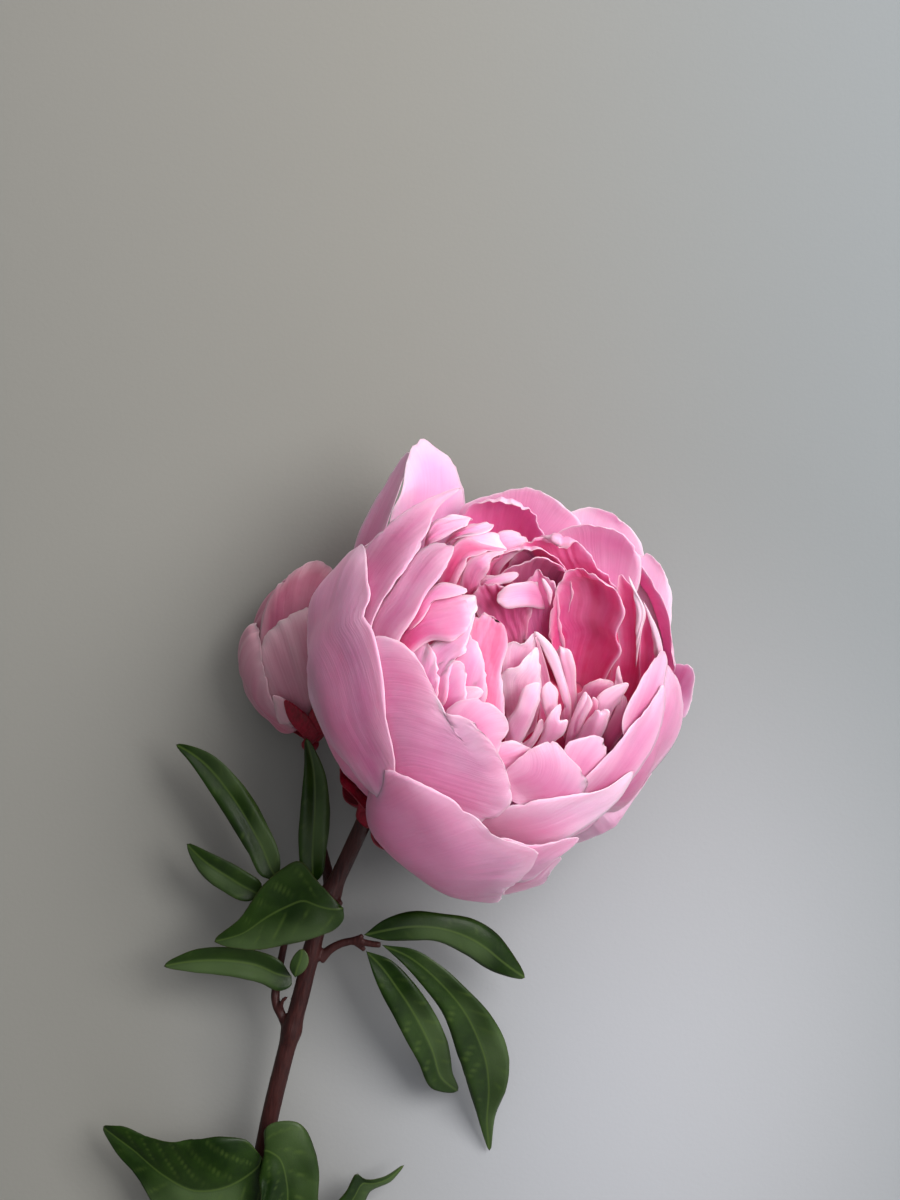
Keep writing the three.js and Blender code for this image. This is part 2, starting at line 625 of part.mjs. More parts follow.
// Sepals: thick rounded blades round the calyx, kept clear of the petals' roots
const sepal = (head, base, left, tip, right, o = {}) =>
  sheet(blade(head, base, left, tip, right, { nu: 5, nv: 4, ...o }), SEPAL);
const stemTopRadius = STEM_TOP + 2 * GAP;
const stemTopFree = rod(
  [rootPoint(60.3), seen(351, 850, 36), seen(322, 915, 30.5)], [stemTopRadius, stemTopRadius], 12, 6,
);
const sepals = body(
  Manifold.union([
    rod([rootPoint(53), rootPoint(55.5), rootPoint(59.3)], [3.4, 4.6, 3], 10, 2),
    sepal(
      BLOOM, null, [[368, 812, FAR], [352, 794, FAR], [341, 783, -4]], [341, 769, -4],
      [[380, 796, FAR], [367, 777, FAR], [353, 764, -14]], { R: 61.4 },
    ),
    sepal(
      BLOOM, null, [[367, 826, -16], [359, 814, -11]], [361, 797, -6], [[378, 822, -12], [376, 806, -9]],
      { R: 62.4 },
    ),
    sepal(
      BLOOM, null, [[372, 838, -14], [394, 852, -24]], [416, 844, -37], [[382, 815, -34], [404, 818, -42]],
      { R: 63.4 },
    ),
    sepal(
      BLOOM, null, [[362, 806, -32], [380, 780, -44]], [372, 752, -46], [[345, 800, -24], [347, 772, -36]],
      { R: 63.8 },
    ),
  ]).subtract(Manifold.union([...outerFree, receptacleOf(2 * GAP), stemTopFree])),
);

// The half open side bud: petals wrapped round each other, and its own sepals
const budPetal = (left, tip, right, R, o = {}) =>
  sheet(blade(BUD, BUD_ROOT, left, tip, right, { R, nu: 5, nv: 4, ...o }), PETAL);
const budMiddle = (x, y, z) => add(BUD.middle, inHead(BUD, x, y, z).map((v, i) => v * BUD.squeeze[i]));
const sideBud = body(
  Manifold.union([
    ball(budMiddle(...BUD_ROOT), 3.2, 12),
    budPetal(
      [[272, 722, FAR], [250, 697, FAR], [254, 655, FAR]], [259, 634], [[288, 722], [274, 704], [265, 672]],
      26.2,
    ),
    budPetal(
      [[280, 722], [263, 690], [259, 650], [266, 606], [283, 580]], [329, 565],
      [[330, 715], [345, 660], [344, 600]], 24.7,
    ),
    budPetal([[290, 722], [281, 722], [276, 712]], [273, 696], [[302, 718], [289, 702]], 27.4, { nu: 4 }),
    budPetal(
      [[318, 718], [308, 680], [310, 620]], [330, 578], [[335, 712, FAR], [352, 660, FAR], [348, 600, FAR]],
      23.3,
    ),
    budPetal(
      [[280, 722, FAR], [262, 690, FAR], [262, 620, FAR]], [300, 572, FAR],
      [[310, 720, FAR], [315, 660, FAR], [320, 600, FAR]], 23.3,
    ),
    budPetal(
      [[300, 722, FAR], [290, 660, FAR], [300, 610, FAR]], [325, 568, FAR],
      [[330, 712, FAR], [350, 650, FAR], [345, 600, FAR]], 21.9,
    ),
  ]).subtract(floorCut),
);
const budSepal = (left, tip, right) => sepal(BUD, [310, 741, -3], left, tip, right, { R: 29.6 });
const budSepals = body(
  Manifold.union([
    ball(budMiddle(310, 742.5, -3), 2.8, 12),
    budSepal([[300, 733], [288, 718]], [284, 701], [[318, 733], [306, 714]]),
    budSepal([[316, 732], [308, 717]], [318, 703], [[327, 732], [330, 714]]),
    budSepal([[298, 735, FAR], [280, 722, FAR]], [274, 704, FAR], [[318, 737, FAR], [304, 720, FAR]]),
  ]).subtract(floorCut),
);

// Where each leaflet grows from its stalk
const LEAF_ROOTS = {
  left_leaflet_1: [279, 881, 26.5],
  left_leaflet_2: [312, 884, 28],
  left_leaflet_3: [261, 896, 25],
  left_leaflet_4: [291, 976, 25.5],
  left_leaflet_5: [295, 977, 28.9],
  bract_leaf: [343, 908, 36.5],
  right_leaflet_1: [364, 935, 31.5],
  right_leaflet_2: [366, 951, 28.5],
  right_leaflet_3: [382, 945, 31.5],
  low_leaflet_1: [262, 1157, 22],
  low_leaflet_2: [268, 1156, 23.5],
  low_leaflet_3: [294, 1263, 11],
};

// Stem, leaf stalks and the stalk of the side bud, which grew as one
const ground = (...points) => points.map((q) => seen(...q));
// A leaf stalk through some points, which ends just short of its leaflet
const stalk = (name, radii, steps, points, free = 0.45) => {
  const line = ground(...points);
  const root = seen(...LEAF_ROOTS[name]);
  return rod([...line, add(root, mul(unit(sub(line.at(-1), root)), free))], radii, 5, steps);
};
const stemLine = [
  rootPoint(60.9),
  ...ground([351, 850, 36], [322, 915, 30.5], [301, 995, 24.6], [285, 1055, 20], [271, 1112, 16]),
  ...ground([254, 1200, 10.8], [232, 1320, 5.2], [216, 1400, STEM_END]),
];
const joint = (x, y, h, r) => ball(seen(x, y, h), r, 8);
const stem = body(
  Manifold.union([
    rod(stemLine, [STEM_TOP, 2.6, 2.7, 2.75, 2.8, 2.85, STEM_END], 12, 14),
    joint(331, 895, 32.2, 3.5),
    joint(322, 955, 27.6, 3.3),
    joint(289, 1030, 22, 3.2),
    // left leaf stalk, its forks and the small hooked bract
    rod(
      ground(
        [289, 1034, 21.5], [283, 1018, 21.5], [276, 1003, 21], [276, 985, 20.5], [281, 960, 21],
        [286, 935, 22.5], [288, 918, 23.5],
      ),
      [1.6, 1.4, 1.2, 1.1], 6, 8,
    ),
    stalk("left_leaflet_1", [0.9, 0.8], 4, [[286, 930, 22.8], [281, 905, 24.5]]),
    stalk("left_leaflet_2", [0.9, 0.8], 4, [[286, 928, 22.8], [299, 903, 25]]),
    stalk("left_leaflet_3", [0.9, 0.8], 3, [[286, 932, 22.8], [275, 912, 23.6]]),
    stalk("left_leaflet_4", [0.9, 0.7], 3, [[276, 990, 20.6], [284, 986, 23]], 1.5),
    rod(ground([283, 1014, 21.4], [281, 1006, 22.5], [283, 1000, 23.5], [287, 997, 24]), [0.9, 0.6], 6, 4),
    stalk("bract_leaf", [1.4, 0.9], 3, [[331, 895, 32.4], [339, 902, 34.6]], 1.55),
    // right leaf stalk and its forks
    rod(
      ground([320, 960, 27.2], [328, 951, 27.8], [340, 944, 28.6], [356, 940, 29.5]), [1.7, 1.3, 1.2], 6, 6,
    ),
    stalk("right_leaflet_1", [1, 0.8], 2, [[350, 941, 29.2], [358, 938, 30.4]]),
    stalk("right_leaflet_2", [1, 0.8], 2, [[352, 941, 29.2], [360, 946, 29]]),
    stalk("right_leaflet_3", [1.2, 1], 4, [[350, 941, 29.2], [362, 942, 29.9], [372, 944, 30.6]]),
    // stalk of the side bud
    rod(
      [...ground(
        [330, 896, 30.5], [328, 875, 23], [320, 840, 17.5], [312, 790, 14.5],
      ), budMiddle(311, 753.4, -3.4)],
      [2, 1.6, 1.5, 1.5], 8, 9,
    ),
    // stalks of the low leaf
    stalk("low_leaflet_1", [1.5, 1], 4, [[258, 1186, 11.5], [262, 1172, 16]], 2.15),
    stalk("low_leaflet_2", [1.2, 0.9], 4, [[259, 1184, 12.5], [266, 1170, 17.5]], 1.15),
    stalk("low_leaflet_3", [1.4, 0.8], 5, [[238, 1290, 6.6], [262, 1280, 8], [284, 1268, 9.8]]),
  ]),
);

// Leaflets, each folded along its midrib
const GROUND = { middle: [0, 0, 0], squeeze: [1, 1, 1] };
const leaflet = (name, left, tip, right, fold, arch = 0, o = {}) => {
  const shape = { fold, arch, nu: 10, nv: 4, rest: LEAF / 2, ...o };
  return sheet(blade(GROUND, LEAF_ROOTS[name], left, tip, right, shape), LEAF);
};
const leaves = {
  left_leaflet_1: leaflet(
    "left_leaflet_1", [[264, 877, 26], [248, 850, 26], [217, 800, 26], [190, 762, 25]], [176, 745, 23],
    [[281, 862, 26], [267, 822, 26], [243, 783, 26], [209, 753, 25]], 1.6, 2,
  ),
  left_leaflet_2: leaflet(
    "left_leaflet_2", [[303, 872, 28], [299, 845, 28], [301, 805, 27], [304, 766, 27.4]], [306, 738, 28.2],
    [[318, 880, 28], [327, 848, 28], [330, 806, 27], [322, 765, 27]], 1.6, 1,
  ),
  left_leaflet_3: leaflet(
    "left_leaflet_3", [[262, 884, 25], [243, 868, 25], [213, 853, 24]], [187, 844, 22],
    [[249, 901, 25], [222, 889, 24], [197, 866, 23]], 1.2, 1,
  ),
  left_leaflet_4: leaflet(
    "left_leaflet_4", [[281, 960, 25.5], [257, 950, 25], [226, 946, 24], [190, 951, 22]], [164, 966, 20],
    [[292, 984, 25.5], [281, 990, 25.5], [262, 982, 25], [230, 975, 24], [190, 971, 22]], 1.4, 1,
  ),
  left_leaflet_5: leaflet(
    "left_leaflet_5", [[290, 968, 30], [294, 955, 30.6]], [302, 949, 31.5],
    [[304, 971, 30.2], [309, 958, 31]], 0.6, 0, { nu: 6 },
  ),
  bract_leaf: leaflet(
    "bract_leaf",
    [[331, 896, 37.5], [314, 878, 37], [298, 861, 35], [280, 870, 34], [263, 885, 33.5], [240, 918, 32]],
    [214, 942, 30.5], [[344, 918, 36.5], [337, 928, 36], [318, 937, 35.5], [281, 946, 34], [243, 950, 32]],
    -1.4, 1,
  ),
  right_leaflet_1: leaflet(
    "right_leaflet_1",
    [[382, 921, 31.5], [410, 911, 31], [441, 913, 30], [474, 919, 28], [495, 932, 26], [511, 952, 24]],
    [525, 978, 22], [[383, 940, 31.5], [410, 941, 31], [434, 941, 30], [465, 955, 27], [493, 972, 24]],
    -1.6, 2,
  ),
  right_leaflet_2: leaflet(
    "right_leaflet_2", [[376, 980, 27], [395, 1015, 23], [416, 1055, 17], [432, 1086, 11.5]],
    [458, 1091, 9], [[388, 957, 28], [413, 979, 26], [431, 1004, 23], [445, 1035, 18], [451, 1069, 12]],
    1.6, 2,
  ),
  right_leaflet_3: leaflet(
    "right_leaflet_3",
    [
      [401, 961, 30.5], [420, 980, 28], [440, 1005, 24.5], [457, 1050, 18], [474, 1102, 9],
      [483, 1133, 4.5],
    ],
    [489, 1151, 2.5],
    [
      [413, 948, 31], [441, 962, 29.5], [463, 980, 27], [490, 1008, 22.5], [508, 1050, 16],
      [506, 1081, 11.5], [495, 1113, 7],
    ],
    1.8, 2,
  ),
  low_leaflet_1: leaflet(
    "low_leaflet_1", [[250, 1140, 22], [225, 1133, 22], [187, 1137, 20], [150, 1135, 18], [118, 1124, 16]],
    [104, 1126, 15],
    [
      [268, 1195, 20], [240, 1235, 17], [200, 1238, 15], [165, 1212, 14], [137, 1173, 14],
      [114, 1148, 14.5],
    ],
    2, 1.5,
  ),
  low_leaflet_2: leaflet(
    "low_leaflet_2", [[262, 1180, 25.5], [258, 1215, 24], [256, 1250, 19]], [272, 1288, 14],
    [[270, 1124, 26], [297, 1121, 26], [315, 1152, 24], [318, 1190, 21], [306, 1245, 17]], 1.6, 0,
  ),
  low_leaflet_3: leaflet(
    "low_leaflet_3",
    [[315, 1224, 12.5], [345, 1190, 14], [357, 1171, 15.5], [366, 1178, 14], [384, 1176, 12]],
    [404, 1165, 10], [[335, 1240, 10], [360, 1208, 10], [369, 1192, 10.5], [392, 1180, 10]], 1, 0,
  ),
};

// The finish of each kind of sub-part: colour, roughness, metalness
const finish = (color, roughness) => new THREE.MeshStandardMaterial({ color, roughness, metalness: 0 });
const FINISHES = {
  stem: finish(0x4f2a2b, 0.45),
  sepals: finish(0x7c1426, 0.4),
  side_bud_sepals: finish(0x7c1426, 0.4),
  outer_petals: finish(0xd99dbd, 0.55),
  inner_petals: finish(0xe487b3, 0.55),
  side_bud_petals: finish(0xcf86ab, 0.55),
};
const LEAF_FINISH = finish(0x35502a, 0.4);

const solids = {
  stem,
  sepals,
  outer_petals: outerBloom,
  inner_petals: innerBloom,
  side_bud_petals: sideBud,
  side_bud_sepals: budSepals,
  ...leaves,
};

const part = new THREE.Group();
part.name = "cut_peony_stem";
for (const [name, solid] of Object.entries(solids)) {
  const placed = solid.translate([-ORIGIN[0], -ORIGIN[1], -FLAT]).subtract(floorCut);
  const { vertProperties, triVerts } = placed.getMesh();
  const geometry = new THREE.BufferGeometry();
  geometry.setAttribute("position", new THREE.BufferAttribute(new Float32Array(vertProperties), 3));
  geometry.setIndex(new THREE.BufferAttribute(new Uint32Array(triVerts), 1));
  geometry.computeVertexNormals();
  const mesh = new THREE.Mesh(geometry, FINISHES[name] ?? LEAF_FINISH);
  mesh.name = name;
  part.add(mesh);
}

export default part;
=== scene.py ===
"""Dress a cut peony stem: an open double bloom, a side bud and divided leaves.

Lengths are millimetres until a mesh is written, which is in metres. Outlines are
read off the view from straight above, in steps of UNIT, with y running down.
"""

from __future__ import annotations

import logging
import math
from dataclasses import dataclass, field
from enum import Enum
from typing import Sequence

import bpy
import numpy as np
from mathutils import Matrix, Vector

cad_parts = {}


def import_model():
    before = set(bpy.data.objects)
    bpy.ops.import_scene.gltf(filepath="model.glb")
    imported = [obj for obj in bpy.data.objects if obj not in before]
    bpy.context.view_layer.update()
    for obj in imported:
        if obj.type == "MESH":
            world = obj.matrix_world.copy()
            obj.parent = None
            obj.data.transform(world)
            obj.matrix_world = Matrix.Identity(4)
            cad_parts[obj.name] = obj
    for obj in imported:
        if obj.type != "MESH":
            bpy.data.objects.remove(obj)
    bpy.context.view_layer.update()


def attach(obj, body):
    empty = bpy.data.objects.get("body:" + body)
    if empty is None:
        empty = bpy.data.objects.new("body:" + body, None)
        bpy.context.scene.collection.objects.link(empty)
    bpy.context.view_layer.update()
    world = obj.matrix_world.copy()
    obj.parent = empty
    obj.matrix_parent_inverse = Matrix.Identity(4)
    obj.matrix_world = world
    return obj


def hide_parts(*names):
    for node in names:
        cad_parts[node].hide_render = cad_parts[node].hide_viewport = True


log = logging.getLogger("peony")

# Driving dimensions, as in the part's source
UNIT = 0.3  # mm for one step of an outline
VIEW_CENTRE = (500.0, 690.0)  # outline position under the middle of the bloom
EYE = (-15.0, 27.0, 745.0)  # view point of the outlines
EYE_LEVEL = 45.0  # height at which one step is exactly UNIT
ORIGIN = (-32.3, -76.4)  # the origin, measured from under the bloom
FLAT = 0.08  # how far the part is pressed flat on the surface
BLOOM_HEIGHT = 54.5  # middle of the bloom above the surface
OUTER_ROOT = (387.0, 798.0, -12.0)  # where the outer petals root
DIP = 10.0  # how far the shells dip towards that root
DIP_LEAN = 0.22  # how much wider than on average the bloom's shells dip on the left
SINK = 0.6  # how far a sunk root lies under its neighbour's shell
BUD_ROOT = (308.0, 719.0, -2.0)  # where the side bud's petals root
BODY = "root"  # the one rigid body of the part
MM = 0.001
FAR = None  # an outline point on the far half of its shell

# How finely things are worked out
SETTLING = 12  # rounds that settle a point on its shell
ROWS = (12, 64)  # fewest and most cells along a blade
COLUMNS = (4, 22)  # fewest and most cells on each side of its middle line
EDGE_POINTS = 160  # points on each margin that the distance to the edge is taken from

Array = np.ndarray
Mark = tuple  # (x, y), (x, y, FAR) or (x, y, height over the middle of the head)
Colour = tuple  # red, green, blue and alpha, linear
Value = float | Sequence[float] | bpy.types.NodeSocket  # what a node's input takes


def unit(v: Array) -> Array:
    """Scale vectors to length one along the last axis."""
    return v / np.maximum(np.linalg.norm(v, axis=-1, keepdims=True), 1e-9)


def ease(x: Array | float) -> Array | float:
    """Ease from 0 to 1 as x goes from 0 to 1."""
    t = np.clip(x, 0.0, 1.0)
    return t * t * (3.0 - 2.0 * t)


def bump(x: Array) -> Array:
    """Give a smooth bump: 1 at 0, and near 0 from about 2 on either side."""
    return np.exp(-(x**2))


def seen(x: float, y: float, height: float) -> Array:
    """Find the point at a height that shows at an outline position.

    Args:
        x: Outline position to the right.
        y: Outline position downwards.
        height: Height above the surface, in mm.

    Returns:
        The point in mm, measured from under the middle of the bloom.
    """
    k = 1.0 - (height - EYE_LEVEL) / (EYE[2] - EYE_LEVEL)
    px = (x - VIEW_CENTRE[0]) * UNIT
    py = (VIEW_CENTRE[1] - y) * UNIT
    return np.array([EYE[0] + (px - EYE[0]) * k, EYE[1] + (py - EYE[1]) * k, height])


@dataclass(frozen=True)
class Head:
    """A head of petals: its middle, and how its shells are squeezed and dip."""

    middle: tuple[float, float, float]
    squeeze: tuple[float, float, float] = (1.0, 1.0, 1.0)
    dip_angle: float = 0.9  # radians over which the shells dip
    lean: float = DIP_LEAN

    def shell(self, radius: float, way: Array) -> Array:
        """Measure a shell, which dips at the root by as much as all the others.

        Args:
            radius: The shell's radius away from the root.
            way: Directions from the middle, in head space.

        Returns:
            The shell's radius in each direction.
        """
        way = unit(way)
        near = np.clip(way @ ROOT_WAY, -1.0, 1.0)
        aside = unit(way - near[..., None] * ROOT_WAY) @ LEAN_WAY
        spread = self.dip_angle * (1.0 + self.lean * aside)
        return radius - DIP * (1.0 - ease(np.arccos(near) / spread))

    def inside(self, x: float, y: float, z: float) -> Array:
        """Turn an outline position and a height over the middle into head space."""
        at = seen(x, y, self.middle[2] + z * self.squeeze[2])
        return (at - np.array(self.middle)) / np.array(self.squeeze)

    def world(self, points: Array) -> Array:
        """Turn points of head space into mm from under the bloom."""
        return np.array(self.middle) + points * np.array(self.squeeze)

    def on_shell(self, x: float, y: float, radius: float, far: bool) -> Array:
        """Find the point of a shell that shows at an outline position.

        Args:
            x: Outline position to the right.
            y: Outline position downwards.
            radius: The shell's radius.
            far: Whether the point is on the half turned from the view.

        Returns:
            The point in head space.
        """
        z = -radius / 2 if far else radius / 2
        for _ in range(SETTLING):
            p = self.inside(x, y, z)
            d = float(self.shell(radius, p)) ** 2 - p[0] ** 2 - p[1] ** 2
            z = (z + math.sqrt(max(d, 0.0)) * (-1 if far else 1)) / 2
        return self.inside(x, y, z)

    def place(self, mark: Mark | Array, radius: float | None) -> Array:
        """Turn an outline point into head space, whichever way it is given.

        Args:
            mark: The outline point, or a point that is in head space already.
            radius: Radius of the shell that it lies on, if it lies on one.

        Returns:
            The point in head space.
        """
        if isinstance(mark, np.ndarray):
            return mark
        if len(mark) == 3 and mark[2] is not FAR:
            return self.inside(*mark)
        return self.on_shell(mark[0], mark[1], radius, len(mark) == 3)


BLOOM = Head((0.0, 0.0, BLOOM_HEIGHT))
BUD = Head(tuple(seen(296, 652, 18)), (0.66, 1.0, 0.66), 0.72, 0.0)
GROUND = Head((0.0, 0.0, 0.0))
ROOT_WAY = unit(BLOOM.inside(*OUTER_ROOT))
LEAN_WAY = unit(np.array([-1.0, 0.0, 0.0]) + ROOT_WAY[0] * ROOT_WAY)


def sunk(x: float, y: float, radius: float, half: bool = True) -> Array:
    """Sink a root just under a neighbour's shell; half is FAR for the far half."""
    return BLOOM.on_shell(x, y, radius - SINK, half is FAR)


def smooth_line(points: Sequence[Array], samples: int = 24) -> list[Array]:
    """Run a smooth curve through points.

    Args:
        points: The points to pass through.
        samples: Points made for each stretch between two of them.

    Returns:
        One array of points for each stretch, without its last point.
    """
    ext = [2 * points[0] - points[1], *points, 2 * points[-1] - points[-2]]
    stretches = []
    t = (np.arange(samples) / samples)[:, None]
    for a, b, c, d in zip(ext, ext[1:], ext[2:], ext[3:]):
        ab, bc, cd = (np.linalg.norm(q - p) + 1e-6 for p, q in ((a, b), (b, c), (c, d)))
        m1 = (b - a) * bc * bc / (ab * (ab + bc)) + (c - b) * ab / (ab + bc)
        m2 = (c - b) * cd / (bc + cd) + (d - c) * bc * bc / (cd * (bc + cd))
        start = b * (2 * t**3 - 3 * t**2 + 1) + m1 * (t**3 - 2 * t**2 + t)
        stretches.append(start + c * (3 * t**2 - 2 * t**3) + m2 * (t**3 - t**2))
    return stretches


def length_of(line: Array) -> float:
    """Measure a line of points."""
    return np.linalg.norm(np.diff(line, axis=0), axis=1).sum()


def evenly(line: Array, n: int) -> Array:
    """Place points evenly along a line of points.

    Args:
        line: The line's own points.
        n: Number of steps to divide it into.

    Returns:
        n + 1 points from one end to the other.
    """
    steps = np.linalg.norm(np.diff(line, axis=0), axis=1)
    at = np.concatenate([[0.0], np.cumsum(steps)])
    want = np.linspace(0.0, at[-1], n + 1)
    return np.stack([np.interp(want, at, line[:, k]) for k in range(3)], axis=1)


def grid_normals(grid: Array) -> Array:
    """Give a grid of points its unit normals.

    Args:
        grid: Rows of points. The first and the last row may be a single point each.

    Returns:
        A unit normal for each point.
    """
    du = np.empty_like(grid)
    dv = np.empty_like(grid)
    du[1:-1] = grid[2:] - grid[:-2]
    du[0], du[-1] = grid[1] - grid[0], grid[-1] - grid[-2]
    dv[:, 1:-1] = grid[:, 2:] - grid[:, :-2]
    dv[:, 0], dv[:, -1] = grid[:, 1] - grid[:, 0], grid[:, -1] - grid[:, -2]
    n = unit(np.cross(du, dv))
    n[0], n[-1] = n[1], n[-2]
    return n


def swell(points: Array, rng: np.random.Generator, length: float, terms: int = 7) -> Array:
    """Sum waves in random directions into a soft random field.

    Args:
        points: Points in mm.
        rng: Source of the directions and phases.
        length: Typical length of a wave, in mm.
        terms: Number of waves.

    Returns:
        A value of about -1 to 1 for each point.
    """
    total = np.zeros(points.shape[:-1])
    for _ in range(terms):
        way = unit(rng.normal(size=3))
        turn = 2 * math.pi / (length * rng.uniform(0.7, 1.6))
        total += np.sin(points @ way * turn + rng.uniform(0, 2 * math.pi))
    return total / math.sqrt(terms / 1.6)


def ripple(s: Array, rng: np.random.Generator, length: float, terms: int = 5) -> Array:
    """Sum waves along an edge, which come and go in groups.

    Args:
        s: Places along the edge, in mm.
        rng: Source of the lengths and phases.
        length: Typical length of a wave, in mm.
        terms: Number of waves.

    Returns:
        A value of about -1 to 1 for each place.
    """
    total = np.zeros_like(s)
    for _ in range(terms):
        turn = 2 * math.pi / (length * rng.uniform(0.6, 1.7))
        total += np.sin(s * turn + rng.uniform(0, 2 * math.pi))
    slow = np.sin(s * 2 * math.pi / (length * 4.3) + rng.uniform(0, 2 * math.pi))
    return total / math.sqrt(terms) * (0.65 + 0.35 * slow)


class Side(Enum):
    """Which way the outer face of a blade looks."""

    OUT = "away from the middle of its head"
    UP = "upwards"


@dataclass(frozen=True)
class Rim:
    """How the free edge and the face of a blade live, in mm."""

    wave: float = 0.28  # height of the waves of the edge
    length: float = 12.0  # from one wave to the next
    curl: float = 0.12  # how far the edge turns outwards
    nick: float = 0.8  # depth of the nicks of the edge
    fine: float = 0.13  # depth of its finest unevenness
    reach: float = 5.0  # how far in from the edge the waves run
    pleat: float = 0.12  # height of the long soft folds
    fold: float = 5.0  # from one of those folds to the next
    swell: float = 0.4  # height of the slow swellings of the face
    nicks: float = 0.07  # nicks for each mm of edge


RAGGED = Rim(
    wave=0.35, length=5.0, curl=0.1, nick=0.8, fine=0.2, reach=3.5, pleat=0.25, fold=3.0,
    swell=0.25, nicks=0.22,
)
PLEATED = Rim(
    wave=0.3, length=5.0, curl=0.1, nick=0.4, reach=4.0, pleat=0.6, fold=2.4, swell=0.3,
)
CROWDED = Rim(
    wave=0.3, length=7.0, curl=0.1, nick=0.8, fine=0.2, reach=4.0, pleat=0.3, fold=3.2, nicks=0.2,
)
FOLDED_BUD = Rim(wave=0.3, length=8.0, reach=4.0, pleat=0.2, swell=0.25)
FIRM_SEPAL = Rim(wave=0.15, curl=0.0, nick=0.1, fine=0.03, pleat=0.0, swell=0.3)
WAVED_LEAF = Rim(
    wave=0.7, length=17.0, curl=-0.4, nick=0.0, fine=0.06, reach=6.0, pleat=0.0, swell=0.5,
    nicks=0.0,
)


@dataclass(frozen=True)
class Blade:
    """A petal, sepal or leaflet, drawn by the outlines of its two margins."""

    root: Mark | Array | None  # None for the common root of the outer petals
    left: Sequence[Mark]
    tip: Mark
    right: Sequence[Mark]
    radius: float | None = None  # of the shell that it bulges out to, if it has one
    cup: float = 0.0  # mm that its middle line stands proud of its margins
    fold: float = 0.0  # mm that its margins stand above the middle line, in a straight fold
    arch: float = 0.0  # mm that it rises between root and tip
    # tone is partly the blade's own colour and partly painted shade (deeper) or painted light
    # (paler) where the blade lies in shade
    tone: float = 0.5  # above 0 towards the deep colour, below 0 towards the pale one
    rim: Rim | None = None  # where it differs from others of its kind

    def bulge(self, head: Head, a: Array, b: Array, v: Array, u: Array) -> Array:
        """Span the face between the margins, out to the blade's shell.

        Args:
            head: The head that the blade belongs to.
            a: The points of the left margin, in head space.
            b: The points of the right margin.
            v: Places across the face, from -1 to 1.
            u: Places along the face, from 0 to 1.

        Returns:
            The points of the face, in head space.
        """
        f = (v + 1) / 2
        da, db = unit(a)[:, None], unit(b)[:, None]
        w = np.arccos(np.clip((da * db).sum(-1, keepdims=True), -1, 1)) + 1e-6
        way = unit(da * np.sin((1 - f) * w) / np.sin(w) + db * np.sin(f * w) / np.sin(w))
        ra = np.linalg.norm(a, axis=1)[:, None, None]
        rb = np.linalg.norm(b, axis=1)[:, None, None]
        flat = ra * (1 - f) + rb * f
        rise = np.maximum(0.0, head.shell(self.radius, way)[..., None] - flat) * (1 - v * v)
        start = 20 if self.root is None else 4
        return way * (flat + rise * ease(u * start) * ease((1 - u) * 6))

    def grid(self, head: Head, step: float) -> tuple[Array, Array, Array]:
        """Lay out the blade's face.

        Args:
            head: The head that the blade belongs to.
            step: Wanted size of a cell, in mm.

        Returns:
            The points of the face from root to tip, and its two margins.
        """
        if self.root is None:
            root = ROOT_WAY * (self.radius - DIP)
        else:
            root = head.place(self.root, self.radius)
        tip = head.place(self.tip, self.radius)
        left = [head.place(q, self.radius) for q in self.left]
        right = [head.place(q, self.radius) for q in self.right]
        loop = smooth_line([root, *left, tip, *right[::-1], root])
        cut = len(left) + 1
        a = np.concatenate([*loop[:cut], [tip]])
        b = np.concatenate([*loop[cut:], [root]])[::-1]
        nu = int(np.clip(max(length_of(a), length_of(b)) / step, *ROWS))
        a, b = evenly(a, nu), evenly(b, nu)
        wide = np.linalg.norm(b - a, axis=1)
        nv = 2 * int(np.clip(wide.max() / step / 2, *COLUMNS))
        v = np.linspace(-1.0, 1.0, nv + 1)[None, :, None]
        u = np.linspace(0.0, 1.0, nu + 1)[:, None, None]
        if self.radius is None:
            f = (v + 1) / 2
            face = a[:, None] * (1 - f) + b[:, None] * f
        else:
            face = self.bulge(head, a, b, v, u)
        if self.cup or self.fold or self.arch:
            n = grid_normals(face)
            if n[nu // 2, nv // 2, 2] < 0:
                n = -n
            w = (wide / wide.max())[:, None, None]
            lift = self.cup * (1 - v * v) * w + self.arch * 4 * u * (1 - u)
            lift = lift + self.fold * np.sqrt(v * v + 0.004) * w
            face[1:-1] += (n * lift)[1:-1]
        return head.world(face), head.world(a), head.world(b)


